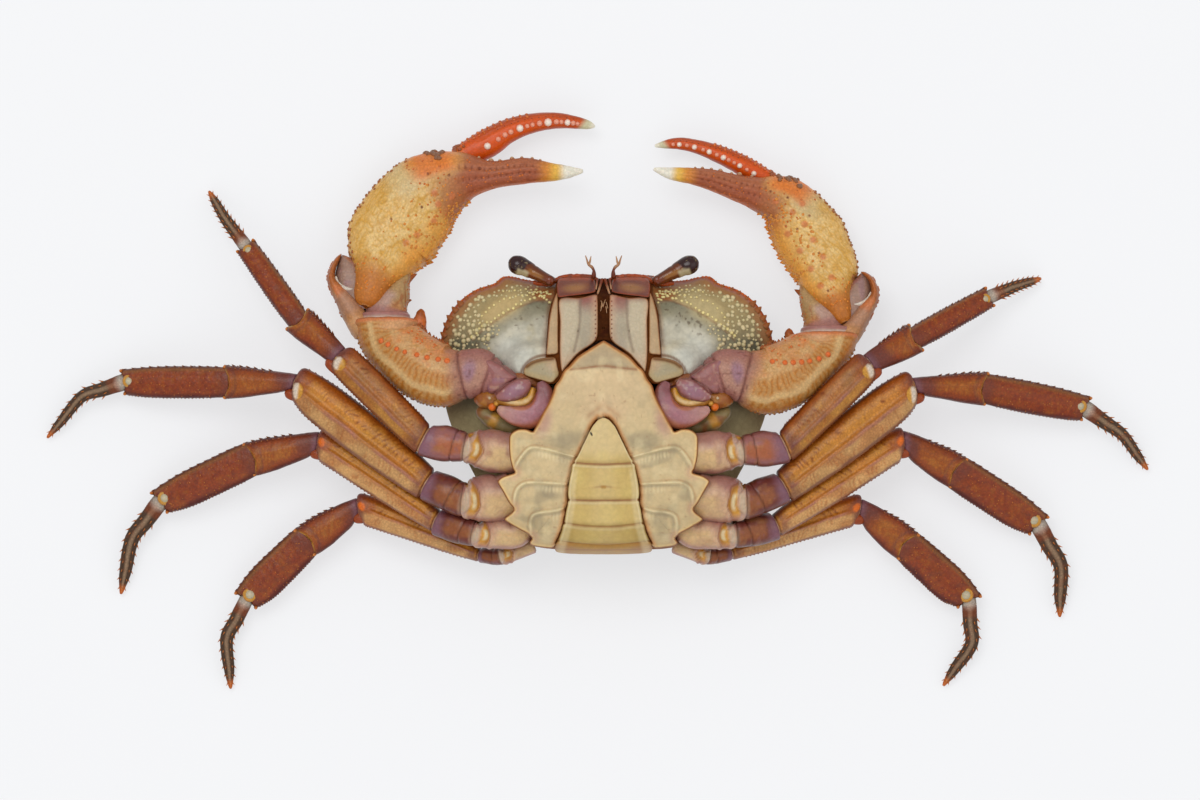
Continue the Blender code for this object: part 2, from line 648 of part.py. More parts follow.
def eye_limb(side):
    x = BELLY_MIDLINE
    stations = [
        (x + side * 8.3, 19.4, 11.6, 1.1, 1.1), (x + side * 10.2, 20.6, 11.5, 1.25, 1.2),
        (x + side * 12.4, 22.0, 11.3, 1.2, 1.2), (x + side * 14.2, 22.6, 11.2, 1.5, 1.45),
        (x + side * 15.2, 22.9, 11.2, 1.1, 1.1), (x + side * 15.6, 23.0, 11.2, 0.5, 0.5),
    ]
    limb = Limb(stations, 2, squareness=2.0)
    limb.face(0, (side, 0.0, 0.0))
    return limb


def antennule_nodes():
    for word, side in SIDES.items():
        x = BELLY_MIDLINE
        shaft = Limb([
            (x + side * 1.6, 20.65, 11.2, 0.42, 0.42), (x + side * 1.6, 21.9, 11.3, 0.36, 0.36),
            (x + side * 2.5, 22.8, 11.3, 0.32, 0.32), (x + side * 2.9, 23.8, 11.3, 0.26, 0.26),
            (x + side * 2.9, 24.9, 11.2, 0.22, 0.22),
        ], 2, squareness=2.0)
        fork = Limb([
            (x + side * 2.4, 22.8, 11.3, 0.28, 0.28), (x + side * 3.2, 23.6, 11.5, 0.25, 0.25),
            (x + side * 3.8, 24.4, 11.6, 0.22, 0.22),
        ], 2, squareness=2.0)
        data = limb_mesh("shaft", shaft, 6)
        add_node(f"antennule_{word}", "antennule", data, [limb_mesh("fork", fork, 6)])


def pleon_limb():
    stations = [(BELLY_MIDLINE, y, z, width, depth) for y, z, width, depth in PLEON_STATIONS]
    return Limb(stations, 2, squareness=4.0, across=(-1.0, 0.0, 0.0))


def sternum_mesh():
    outline = shifted(mirrored(STERNUM_HALF), BELLY_MIDLINE)

    def top(rise):
        def height(x, y):
            front_fall = 0.1 * max(y, 0.0)
            rear_fall = 0.25 * max(-19.0 - y, 0.0)
            return STERNUM_BOTTOM + rise - front_fall - rear_fall
        return height

    levels = [(0.98, STERNUM_BOTTOM), (1.0, STERNUM_BOTTOM + 0.3)]
    levels += [(share, top(rise)) for share, rise in zip((0.97, 0.8, 0.5), STERNUM_RISES)]
    return disc_mesh("sternum", outline, STERNUM_CENTRE, levels)


def body_nodes():
    pleon = pleon_limb()
    eyes = {word: eye_limb(side) for word, side in SIDES.items()}
    cutters = [epistome_mesh(GAP)]
    for word, side in SIDES.items():
        cutters.append(maxilliped_mesh(side, GAP))
        cutters += clearance("orbit", eyes[word], 10, ORBIT_OPENING)
    slot = [(-1.3, 11.0), (1.3, 11.0), (1.3, 18.0), (-1.3, 18.0)]
    slot_levels = [(1.0, lambda x, y: mouth_height(y) - MOUTH_THICKNESS), (1.0, 26.0)]
    slot_centre = (BELLY_MIDLINE, 14.0)
    cutters.append(disc_mesh("slot", shifted(slot, BELLY_MIDLINE), slot_centre, slot_levels))
    carapace_node(cutters)
    groove = clearance("groove", pleon, 12, PLEON_OPENING)
    add_node("sternum", "sternum", sternum_mesh(), (), groove)
    add_node("pleon", "pleon", limb_mesh("pleon", pleon, 12))
    add_node("epistome", "epistome", epistome_mesh())
    for word, side in SIDES.items():
        add_node(f"maxilliped_{word}", "maxilliped", maxilliped_mesh(side))
        add_node(f"eye_{word}", "eye", limb_mesh("eye", eyes[word], 10))
    antennule_nodes()


def leg_spines(limb, piece):
    """Rows of small spines along the edges of a leg piece, leaning to its tip."""
    if piece not in SPINES_ON:
        return []
    spines = []
    count = SPINES_ON[piece]
    rows = (20.0, 160.0, 250.0) if piece == "dactylus" else (15.0, 165.0)
    for number, row in enumerate(rows):
        for index in range(count):
            share = 0.12 + 0.76 * (index + 0.5 * (number % 2)) / (count - 0.5)
            point, outward, along = limb.place(share, math.radians(row))
            root = point - outward * SPINE_SUNK
            direction = outward * 0.55 + along * 0.85
            length = SPINE_LENGTH[piece] + SPINE_SUNK
            spines.append(spike_mesh(root, direction, length, SPINE_RADIUS, sides=3))
    return spines


def joint_plane(before, after):
    return unit(unit(before) + unit(after))


def leg_nodes(word, number):
    plan, facing = LEG_PLANS[(word, number)]
    joints = [np.array((x, y, z)) for (x, y), z in zip(plan, LEG_HEIGHTS[number])]
    root, coxa, merus, carpus, propodus, dactylus, middle, tip = joints
    paths = {
        "base": [root, root * 0.55 + coxa * 0.45, coxa, coxa * 0.5 + merus * 0.5, merus],
        "merus": [merus + (carpus - merus) * share for share in (0.0, 0.25, 0.5, 0.8, 1.0)],
        "carpus": [carpus + (propodus - carpus) * share for share in (0.0, 0.35, 0.7, 1.0)],
        "propodus": [propodus + (dactylus - propodus) * share for share in (0.0, 0.35, 0.7, 1.0)],
        "dactylus": [
            dactylus, dactylus * 0.5 + middle * 0.5, middle, middle * 0.4 + tip * 0.6, tip,
        ],
    }
    facing_angle = math.radians(facing)
    normals = [np.array((math.cos(facing_angle), math.sin(facing_angle), 0.0))]
    ends = [root, merus, carpus, propodus, dactylus]
    following = [merus, carpus, propodus, dactylus, middle]
    for index in range(1, 5):
        before = ends[index] - (coxa if index == 1 else ends[index - 1])
        normals.append(joint_plane(before, following[index] - ends[index]))
    for index, piece in enumerate(LEG_PIECES):
        widths = LEG_WIDTHS[number][piece]
        depths = [depth * DEPTH_SHARE[number] for depth in LEG_DEPTHS[piece]]
        stations = [(*place, width, depth) for place, width, depth in zip(paths[piece], widths, depths)]
        limb = Limb(stations, 2 if piece == "dactylus" else 1)
        start = (ends[index] + normals[index] * GAP / 2.0, normals[index])
        end = None
        if index < 4:
            end = (ends[index + 1] - normals[index + 1] * GAP / 2.0, normals[index + 1])
        data = limb_mesh(piece, limb, 8 if piece == "dactylus" else 10, start, end, floor=0.0)
        add_node(f"leg_{number}_{word}_{piece}", piece, data, leg_spines(limb, piece))


def claw_nodes(word):
    shapes = CLAWS[word]
    side = SIDES[word]
    steps = {"base": 2, "merus": 1, "carpus": 2, "palm": 1, "dactylus": 1}
    limbs = {piece: Limb(shapes[piece], steps[piece], squareness=2.4) for piece in steps}
    facing = math.radians(shapes["root_facing"])
    root_normal = np.array((math.cos(facing), math.sin(facing), 0.0))
    root_start = limbs["base"].centre[0] + root_normal * GAP / 2.0
    merus_place = limbs["merus"].centre[0]
    base_way = limbs["base"].centre[-1] - limbs["base"].centre[0]
    merus_normal = joint_plane(base_way, limbs["merus"].centre[2] - merus_place)
    carpus_place = limbs["carpus"].centre[0]
    carpus_normal = np.array((0.0, 1.0, -0.15))
    half = GAP / 2.0
    merus_ends = (merus_place + merus_normal * half, merus_normal)
    base_end = (merus_place - merus_normal * half, merus_normal)
    merus_end = (carpus_place - unit(carpus_normal) * half, carpus_normal)
    carpus_start = (carpus_place + unit(carpus_normal) * half, carpus_normal)
    add_node(
        f"claw_{word}_base", "base",
        limb_mesh("base", limbs["base"], 12, (root_start, root_normal), base_end),
    )
    add_node(
        f"claw_{word}_merus", "claw_merus",
        limb_mesh("merus", limbs["merus"], 14, merus_ends, merus_end, floor=0.0),
        merus_teeth(limbs["merus"], side),
    )
    add_node(
        f"claw_{word}_carpus", "claw_carpus",
        limb_mesh("carpus", limbs["carpus"], 14, carpus_start, None, floor=0.0),
        carpus_spine(limbs["carpus"], side),
        clearance("cup", limbs["palm"], 14, CUP_OPENING),
    )
    add_node(
        f"claw_{word}_palm", "claw_palm",
        limb_mesh("palm", limbs["palm"], 14, floor=0.0),
        palm_tubercles(limbs["palm"], side),
        clearance("hinge", limbs["dactylus"], 12),
    )
    add_node(
        f"claw_{word}_dactylus", "claw_dactylus",
        limb_mesh("dactylus", limbs["dactylus"], 12, floor=0.0),
        finger_teeth(limbs["dactylus"], side),
    )


def row_of_spikes(limb, shares, angle, lean, length, radius, blunt):
    """Spikes along one line of a limb, leaning to its far end."""
    spikes = []
    for share in shares:
        point, outward, along = limb.place(share, angle)
        root = point - outward * TOOTH_SUNK
        direction = outward + along * lean
        spikes.append(spike_mesh(root, direction, length + TOOTH_SUNK, radius, blunt=blunt))
    return spikes


def shares_between(first, last, count):
    return [first + (last - first) * index / (count - 1) for index in range(count)]


def inner_angle(side, degrees):
    """An angle on a claw piece, counted from its inner edge, alike on both sides."""
    return math.radians(degrees if side < 0 else 180.0 - degrees)


def merus_teeth(limb, side):
    angle = inner_angle(side, 0.0)
    teeth = row_of_spikes(limb, shares_between(0.45, 0.75, 4), angle, 0.3, 0.5, 0.45, 0.3)
    teeth += row_of_spikes(limb, [0.85], angle, 0.7, 1.9, 0.9, 0.35)
    return teeth


def carpus_spine(limb, side):
    return row_of_spikes(limb, [0.9], inner_angle(side, 10.0), 0.6, 1.6, 0.7, 0.15)


def palm_tubercles(limb, side):
    """Blunt bumps on the inner and the outer edge, and low teeth on the fixed finger."""
    inner = shares_between(0.28, 0.56, 9)
    outer = shares_between(0.18, 0.40, 6)
    biting = shares_between(0.66, 0.92, 5)
    bumps = row_of_spikes(limb, inner, inner_angle(side, 8.0), 0.2, 0.45, 0.5, 0.4)
    bumps += row_of_spikes(limb, outer, inner_angle(side, 178.0), 0.2, 0.4, 0.45, 0.4)
    bumps += row_of_spikes(limb, biting, inner_angle(side, 170.0), 0.1, 0.4, 0.45, 0.5)
    return bumps


def finger_teeth(limb, side):
    teeth = []
    for number, share in enumerate(shares_between(0.28, 0.92, 10)):
        large = number in (0, 3, 6)
        radius = 0.75 if large else 0.45
        teeth += row_of_spikes(limb, [share], inner_angle(side, 78.0), 0.0, 0.75 * radius, radius, 0.55)
    return teeth


def build():
    clear_scene()
    body_nodes()
    for word in SIDES:
        claw_nodes(word)
        for number in (2, 3, 4, 5):
            leg_nodes(word, number)


build()
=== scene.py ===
"""Looks of the freshwater crab: fine shell surfaces, joint membranes, granules, teeth and spines.

Sizes are in millimetres up to the moment a mesh is made. +Y points to the front of the crab,
+X to its left side and +Z is the belly side. Places and sizes follow the plain model.
"""
import itertools
import math

import bpy
import numpy as np
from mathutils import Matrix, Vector


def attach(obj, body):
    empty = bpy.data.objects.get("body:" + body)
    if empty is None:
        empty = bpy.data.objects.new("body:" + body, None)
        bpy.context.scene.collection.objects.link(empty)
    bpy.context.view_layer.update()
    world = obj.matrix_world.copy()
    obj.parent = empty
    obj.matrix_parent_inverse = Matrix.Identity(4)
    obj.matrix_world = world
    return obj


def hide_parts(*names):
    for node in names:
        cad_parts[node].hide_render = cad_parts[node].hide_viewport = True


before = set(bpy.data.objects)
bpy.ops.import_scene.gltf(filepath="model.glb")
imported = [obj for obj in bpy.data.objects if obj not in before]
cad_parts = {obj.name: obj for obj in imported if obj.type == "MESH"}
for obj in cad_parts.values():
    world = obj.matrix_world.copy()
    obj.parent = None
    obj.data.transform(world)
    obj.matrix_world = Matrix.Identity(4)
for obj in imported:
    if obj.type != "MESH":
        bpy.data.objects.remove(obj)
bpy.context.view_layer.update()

METRE_PER_MM = 0.001
BELLY_MIDLINE = 1.0
CARAPACE_MIDLINE = 1.5
CARAPACE_CENTRE = np.array((CARAPACE_MIDLINE, 0.5))
STERNUM_CENTRE = np.array((BELLY_MIDLINE, -9.0))
REST_FLAT_SHARE = 0.3
RIM_HEIGHT = 8.7
RIM_REAR_FALL = 2.2
RIM_FRONT_FALL = 0.7
BACK_POWER = 2.1
BELLY_RISE = 7.3
BELLY_SIDE_RISE = 0.5
BELLY_FRONT_RISE = 3.2
STERNUM_BOTTOM = 19.9
STERNUM_RISE = 3.6
MOUTH_SLOPE = 0.34
MOUTH_FRONT_Y = 17.8
MOUTH_FRONT_TOP = 16.4
MOUTH_THICKNESS = 2.6
FRONT_FACE_Y = 20.3
FRONT_FACE_SLOPE = 1.75
FLOOR_GAP = 0.02
LEG_SPACING = 0.21
CLAW_SPACING = 0.2
WRIST_SPACING = 0.18
SHEEN_HAZE = 0.017
TOOTH_STEP = 1.45
BEAD_STEP = 0.62
BRISTLES = 7
SIDES = {"right": -1.0, "left": 1.0}
UP = np.array((0.0, 0.0, 1.0))

# Half outlines in mm from the midline, from the front to the rear.
CARAPACE_HALF = [
    (0.0, 20.0), (4.0, 20.7), (7.6, 20.7), (8.8, 19.9), (12.6, 19.9), (16.7, 20.6), (18.6, 19.4),
    (21.3, 18.5), (23.4, 17.2), (25.2, 15.4), (26.6, 12.9), (27.4, 9.6), (27.3, 4.0), (26.3, -2.0),
    (24.2, -7.5), (21.4, -13.0), (18.4, -18.4), (14.2, -22.8), (9.6, -24.4), (0.0, -24.4),
]
STERNUM_HALF = [
    (0.0, 9.9), (0.7, 9.55), (2.0, 8.75), (4.2, 7.3), (5.6, 5.8), (6.5, 5.0), (7.2, 3.6), (8.0, 2.5),
    (8.4, 1.2), (9.1, -0.4), (10.0, -2.0), (11.3, -4.5), (11.7, -5.0), (12.8, -4.6), (14.2, -4.7),
    (15.3, -5.5), (15.5, -6.7), (15.4, -9.1), (15.0, -10.9), (14.6, -11.7), (15.3, -12.0),
    (16.4, -12.35), (17.2, -12.9), (17.35, -13.4), (16.4, -15.1), (15.5, -16.7), (14.8, -17.6),
    (15.0, -18.2), (16.0, -19.0), (16.2, -19.6), (14.3, -20.8), (12.5, -21.8), (11.8, -22.5),
    (12.0, -22.9), (12.2, -23.3), (11.7, -23.8), (9.9, -24.1), (8.0, -24.2), (0.0, -24.2),
]
STERNUM_ARCS = [
    [(14.7, -11.7), (14.1, -10.1), (12.8, -8.3), (11.7, -7.65), (9.9, -7.8), (7.8, -8.3), (4.9, -9.1)],
    [(14.7, -17.7), (14.5, -15.4), (13.9, -14.1), (12.5, -13.4), (9.9, -13.4), (5.9, -13.6)],
    [(11.8, -22.4), (12.0, -20.1), (11.6, -18.8), (10.4, -18.3), (8.0, -18.0), (6.6, -17.6)],
]

# Plates of the mouth: distances from the midline and Y, mm.
ISCHIUM = [
    (7.2, 16.8), (4.0, 17.0), (1.3, 17.5), (0.95, 16.6), (0.9, 14.0), (0.92, 11.8), (1.05, 10.5),
    (1.6, 9.6), (2.5, 8.9), (3.3, 8.4), (4.35, 7.6), (5.25, 6.6), (6.2, 5.5), (6.8, 4.8),
    (7.05, 5.6), (7.2, 7.1), (7.25, 9.0), (7.2, 13.0),
]
MOUTH_MERUS = [
    (7.3, 17.05), (5.6, 17.25), (3.5, 17.5), (1.6, 17.85), (1.3, 18.4), (1.5, 19.9), (2.2, 20.35),
    (4.1, 20.5), (6.0, 20.45), (7.3, 20.1), (7.7, 19.0), (7.6, 17.6),
]
EXOPOD = [
    (7.55, 17.7), (7.45, 15.5), (7.45, 13.4), (7.45, 10.5), (7.42, 8.2), (7.8, 7.7), (8.6, 7.6),
    (9.4, 7.7), (9.3, 9.2), (9.15, 11.0), (8.9, 13.6), (8.5, 15.6), (8.0, 17.2),
]
SIDE_PLATE = [
    (13.2, 4.7), (12.8, 5.8), (11.6, 6.65), (9.9, 7.1), (8.3, 7.2), (7.8, 6.8), (7.55, 5.6),
    (7.3, 4.4), (7.8, 3.6), (8.6, 3.0), (9.9, 3.3), (11.4, 3.7), (12.7, 4.1),
]

# Walking legs, as in the plain model.
LEG_HEIGHTS = {
    2: [17.0, 17.2, 17.0, 15.0, 11.5, 5.6, 3.6, 1.2],
    3: [16.4, 16.0, 14.6, 11.8, 8.8, 4.2, 3.2, 1.1],
    4: [15.6, 14.6, 12.0, 8.8, 6.8, 3.7, 2.9, 1.0],
    5: [10.6, 10.2, 9.2, 6.2, 5.0, 3.5, 2.7, 0.9],
}
LEG_WIDTHS = {
    2: {
        "base": [3.4, 3.5, 2.5, 3.0, 2.7], "merus": [2.6, 2.7, 2.8, 2.8, 2.6],
        "carpus": [1.7, 2.1, 2.5, 2.6], "propodus": [1.9, 2.0, 1.9, 1.75],
        "dactylus": [1.15, 1.05, 0.9, 0.7, 0.25],
    },
    3: {
        "base": [3.4, 3.5, 2.6, 2.6, 2.4], "merus": [2.8, 3.4, 3.7, 3.6, 2.9],
        "carpus": [1.4, 1.9, 2.5, 2.8], "propodus": [2.5, 2.65, 2.55, 2.15],
        "dactylus": [1.4, 1.2, 1.0, 0.8, 0.25],
    },
    4: {
        "base": [2.0, 2.1, 1.8, 2.1, 1.9], "merus": [1.9, 2.3, 2.5, 2.6, 2.7],
        "carpus": [1.8, 2.3, 2.8, 2.9], "propodus": [2.9, 3.0, 2.9, 2.3],
        "dactylus": [1.45, 1.35, 1.2, 1.0, 0.25],
    },
    5: {
        "base": [1.2, 1.4, 1.3, 1.2, 1.1], "merus": [1.2, 1.7, 2.0, 2.4, 2.6],
        "carpus": [1.6, 2.3, 2.8, 2.8], "propodus": [2.8, 3.0, 3.0, 2.3],
        "dactylus": [1.2, 1.2, 1.1, 0.9, 0.25],
    },
}
LEG_DEPTHS = {
    "base": [3.2, 3.3, 2.5, 2.8, 2.5], "merus": [2.2, 2.4, 2.4, 2.3, 2.1],
    "carpus": [1.4, 1.8, 1.9, 1.8], "propodus": [1.5, 1.5, 1.4, 1.25],
    "dactylus": [0.95, 0.9, 0.8, 0.65, 0.25],
}
DEPTH_SHARE = {2: 1.0, 3: 1.0, 4: 0.88, 5: 0.72}
LEG_PIECES = ["base", "merus", "carpus", "propodus", "dactylus"]
LEG_PLANS = {
    ("right", 2): ([(-15.0, -8.5), (-21.4, -7.6), (-28.6, -6.4), (-42.5, 7.3), (-49.4, 13.4),
                    (-58.2, 25.6), (-61.7, 30.3), (-64.4, 34.8)], 180.0),
    ("right", 3): ([(-15.4, -15.8), (-22.0, -16.2), (-28.1, -13.7), (-49.7, 3.1), (-61.5, 3.1),
                    (-78.5, 3.1), (-85.4, 0.7), (-91.2, -6.1)], 205.0),
    ("right", 4): ([(-13.4, -21.6), (-19.4, -21.8), (-26.5, -19.8), (-46.0, -6.8), (-57.5, -9.7),
                    (-72.5, -16.8), (-77.1, -22.9), (-79.0, -32.0)], 230.0),
    ("right", 5): ([(-13.6, -24.9), (-16.6, -25.6), (-19.4, -25.4), (-39.5, -17.5), (-48.4, -23.4),
                    (-58.2, -33.0), (-61.4, -39.4), (-60.8, -47.7)], 200.0),
    ("left", 2): ([(17.0, -8.6), (23.5, -8.1), (30.8, -7.6), (44.6, 6.1), (52.4, 10.4),
                   (64.8, 17.2), (69.2, 19.0), (73.5, 20.3)], 0.0),
    ("left", 3): ([(17.4, -15.8), (24.5, -16.5), (30.6, -14.2), (52.1, 2.5), (64.1, 2.0),
                   (80.8, -1.3), (86.9, -5.6), (91.2, -11.4)], -25.0),
    ("left", 4): ([(15.5, -21.6), (22.4, -21.9), (29.3, -20.6), (50.4, -6.6), (59.6, -11.9),
                   (73.0, -20.6), (76.7, -27.4), (76.6, -35.8)], -50.0),
    ("left", 5): ([(15.7, -24.9), (18.6, -25.5), (22.0, -25.1), (43.3, -17.7), (51.4, -24.1),
                   (61.5, -33.2), (61.9, -40.3), (57.3, -47.2)], -20.0),
}

# Claw limbs: x, y, z, half width and half depth at stations from the near end to the far end.
CLAWS = {
    "right": {
        "root_facing": 156.0,
        "base": [(-9.6, -1.0, 17.6, 3.9, 3.3), (-12.6, 0.2, 17.6, 3.7, 3.6), (-16.4, 3.6, 16.6, 2.7, 3.2)],
        "merus": [
            (-16.4, 3.7, 16.5, 2.7, 3.2), (-19.4, 4.5, 16.3, 4.1, 3.6), (-22.4, 4.3, 15.9, 4.1, 3.9),
            (-25.3, 4.1, 15.1, 5.1, 4.4), (-28.8, 5.4, 13.9, 5.3, 4.8), (-31.9, 7.8, 12.4, 5.1, 4.8),
            (-34.2, 10.4, 10.9, 5.2, 4.6), (-34.9, 13.4, 9.6, 5.4, 4.4),
        ],
        "wrist_start": (-35.5, 13.4, 9.2, 5.0, 4.2),
        "palm": [
            (-33.7, 27.4, 4.7, 7.5, 4.9), (-28.5, 34.0, 5.0, 6.8, 4.7), (-23.0, 36.8, 6.4, 4.6, 3.8),
            (-17.7, 37.3, 7.6, 2.4, 2.4), (-12.0, 38.0, 8.1, 2.15, 2.0), (-7.8, 37.8, 8.2, 1.55, 1.6),
            (-4.9, 37.8, 8.1, 1.05, 1.1), (-2.4, 38.0, 7.9, 0.3, 0.35),
        ],
        "dactylus": [
            (-23.6, 40.0, 4.6, 1.7, 1.7), (-18.6, 42.4, 4.4, 2.4, 2.2), (-14.9, 44.6, 4.3, 2.0, 2.1),
            (-11.1, 45.9, 4.2, 1.65, 1.8), (-7.0, 46.4, 4.1, 1.35, 1.5), (-3.7, 46.1, 4.0, 1.05, 1.2),
            (-1.6, 45.7, 4.0, 0.75, 0.8), (-0.4, 45.4, 4.0, 0.25, 0.3),
        ],
    },
    "left": {
        "root_facing": 24.0,
        "base": [(11.6, -1.0, 17.6, 3.9, 3.3), (14.4, 0.2, 17.6, 3.7, 3.6), (18.2, 3.6, 16.6, 2.7, 3.2)],
        "merus": [
            (18.2, 3.7, 16.5, 2.8, 3.2), (20.9, 4.4, 16.3, 4.1, 3.6), (23.8, 4.0, 15.9, 4.4, 3.9),
            (27.5, 3.3, 15.1, 5.5, 4.4), (31.4, 4.5, 13.9, 5.5, 4.8), (34.4, 6.6, 12.4, 5.1, 4.8),
            (37.0, 8.9, 10.9, 5.3, 4.6), (37.8, 11.0, 9.6, 5.3, 4.4),
        ],
        "wrist_start": (38.0, 11.2, 9.2, 5.1, 4.2),
        "palm": [
            (34.7, 27.7, 4.4, 5.9, 4.6), (30.9, 32.7, 4.9, 4.5, 4.1), (26.3, 34.3, 6.2, 2.8, 3.1),
            (22.7, 35.3, 7.0, 2.15, 2.4), (18.9, 36.5, 7.6, 1.75, 1.9), (15.3, 37.2, 7.9, 1.35, 1.6),
            (12.0, 37.6, 8.0, 1.0, 1.1), (9.3, 38.3, 7.8, 0.3, 0.35),
        ],
        "dactylus": [
            (29.6, 35.9, 4.3, 1.3, 1.4), (25.2, 38.3, 4.3, 1.7, 1.9), (22.4, 39.8, 4.2, 1.6, 1.9),
            (19.4, 41.1, 4.2, 1.4, 1.7), (16.4, 42.1, 4.1, 1.15, 1.4), (13.6, 42.6, 4.0, 1.0, 1.1),
            (11.5, 42.5, 4.0, 0.75, 0.8), (9.5, 42.2, 4.0, 0.25, 0.3),
        ],
    },
}


def linear(red, green, blue):
    """A screen colour, 0 to 255, as linear light."""
    value = np.array((red, green, blue)) / 255.0
    return np.where(value <= 0.04045, value / 12.92, ((value + 0.055) / 1.055) ** 2.4)


TINTS = {name: linear(*levels) for name, levels in {
    "rust": (152, 78, 36), "red_brown": (148, 70, 36), "dark_brown": (78, 38, 22),
    "mauve": (152, 100, 96), "violet": (132, 94, 108), "pink_cream": (204, 166, 134),
    "mustard": (190, 128, 56), "pale_strip": (192, 146, 94), "gold": (208, 150, 62),
    "white": (222, 208, 192), "palm": (226, 178, 100), "palm_pale": (232, 200, 140),
    "orange": (220, 116, 50), "scarlet": (216, 90, 30), "finger": (164, 90, 62),
    "olive": (132, 124, 96), "dark_olive": (98, 94, 76), "grey_white": (204, 198, 178),
    "yellow": (206, 186, 112), "cream": (236, 216, 152), "front": (118, 58, 38),
    "mouth": (192, 177, 150), "mouth_mauve": (146, 92, 84), "black": (24, 16, 14),
    "sternum": (206, 183, 140), "peach": (207, 178, 140), "grey": (158, 144, 116),
    "ridge": (226, 208, 164), "outline": (158, 96, 50), "pleon": (198, 170, 106),
    "suture": (140, 82, 50), "claw_tip": (238, 232, 214), "tip_yellow": (234, 186, 84),
    "pearl": (246, 236, 222), "leg_dark": (80, 60, 46), "spine": (172, 108, 58), "plum": (112, 62, 56),
    "dark_rust": (112, 48, 26), "beige": (166, 114, 68), "salmon": (206, 118, 72),
    "salmon_pale": (216, 164, 118), "claw_mauve": (160, 106, 100), "orange_brown": (170, 96, 52),
    "pale_mauve": (186, 152, 138), "cup": (164, 132, 116), "palm_gold": (204, 148, 50),
    "orange_gold": (228, 156, 70), "palm_grey": (206, 190, 148), "finger_light": (176, 108, 76),
    "finger_red": (176, 76, 40), "tip_orange": (216, 140, 60), "dactylus_tip": (206, 204, 168),
    "knuckle": (138, 104, 84), "pink_tooth": (236, 160, 134), "carpus": (188, 132, 84),
    "flank": (140, 122, 84), "claw_violet": (150, 112, 130), "bulge_lightened": (176, 164, 124),
    "claw_brown": (152, 92, 54), "slate": (116, 116, 102), "blue_white": (198, 200, 192),
    "ochre_olive": (170, 150, 106), "yellow_patch": (200, 174, 122), "yellow_grey": (194, 176, 130),
    "taupe": (158, 110, 70), "front_edge": (164, 76, 42), "mouth_dark": (80, 51, 39),
    "granule": (238, 220, 152), "granule_low": (164, 154, 118), "granule_pale": (228, 208, 164),
    "front_sternite": (174, 154, 122), "tail_halo": (206, 134, 70), "tail_line": (104, 56, 20),
    "rim_light": (240, 206, 140), "telson": (213, 189, 139), "tail_olive": (164, 136, 74),
    "tail_ochre": (172, 128, 66), "seam_red": (140, 84, 58), "mouth_blue": (158, 147, 128),
    "mouth_line": (112, 92, 80), "exopod": (186, 158, 122), "outline_dark": (96, 56, 37),
    "front_mauve": (118, 62, 50), "front_tan": (156, 106, 60), "stalk": (106, 60, 34),
    "stalk_pale": (176, 160, 124), "tan_orange": (200, 122, 58), "gold_brown": (184, 128, 62),
    "bright_orange": (226, 112, 30), "toe_light": (164, 134, 106), "back": (96, 66, 44),
    "back_light": (132, 98, 62), "tan": (196, 150, 112), "corner": (172, 158, 128),
    "corner_rim": (184, 160, 116), "gap_brown": (108, 64, 41), "coxa_mauve": (166, 114, 122),
    "granule_mid": (214, 200, 150), "merus_gold": (188, 126, 54), "neck_grey": (176, 134, 112),
    "comb_gold": (178, 108, 38), "row_orange": (224, 108, 48), "heel_brown": (190, 112, 52),
    "wart_orange": (212, 130, 62), "edge_shade_warm": (204, 166, 112), "slate_teal": (108, 106, 88),
    "margin_tip": (158, 92, 50), "coxa_cream": (208, 176, 124), "sternum_mauve": (176, 122, 124),
    "merus_cream": (206, 164, 112), "cornea": (56, 34, 22),
}.items()}


def unit(vectors):
    return vectors / np.maximum(np.linalg.norm(vectors, axis=-1, keepdims=True), 1e-9)


def fade(low, high, value):
    """Zero on one side of a soft step and one on the other; it falls where low is above high."""
    share = np.clip((value - low) / (high - low), 0.0, 1.0)
    return share * share * (3.0 - 2.0 * share)


def bell(value, width):
    """One where a value is zero, falling off to both sides."""
    return np.exp(-(value / width) ** 2)


def band(low, high, value, soft):
    """One inside a range and zero outside it, with soft edges."""
    return fade(low - soft, low + soft, value) * (1.0 - fade(high - soft, high + soft, value))


def noise(points, size, seed=0):
    """Smooth noise from -1 to 1 with features of a given size in mm."""
    places = points / size + 31.7 * (seed + 1)
    cell = np.floor(places).astype(np.int64)
    share = places - cell
    share = share * share * (3.0 - 2.0 * share)
    total = 0.0
    for corner in itertools.product((0, 1), repeat=3):
        node = cell + np.array(corner)
        mixed = node[..., 0] * 73856093 ^ node[..., 1] * 19349663 ^ node[..., 2] * 83492791
        mixed = (mixed ^ (mixed >> 13)) * 1274126177 & 0xFFFFFFFF
        value = ((mixed ^ (mixed >> 16)) & 0xFFFF) / 32767.5 - 1.0
        weight = np.prod(np.where(np.array(corner) == 1, share, 1.0 - share), axis=-1)
        total = total + value * weight
    return total


def colour(tint):
    """A colour as given, or the one that a name stands for."""
    return TINTS[tint] if isinstance(tint, str) else tint


def curve(rows, at):
    """Rows of numbers read along a smooth curve; at runs from 0 to the number of the last row."""
    rows = np.asarray(rows, dtype=float)
    padded = np.vstack([2 * rows[0] - rows[1], rows, 2 * rows[-1] - rows[-2]])
    at = np.clip(np.asarray(at, dtype=float), 0.0, len(rows) - 1.0)
    index = np.minimum(at.astype(int), len(rows) - 2)
    t = (at - index)[:, None]
    before, start, end, after = (padded[index + step] for step in range(4))
    return 0.5 * (
        2 * start + (end - before) * t + (2 * before - 5 * start + 4 * end - after) * t ** 2
        + (3 * start - before - 3 * end + after) * t ** 3
    )


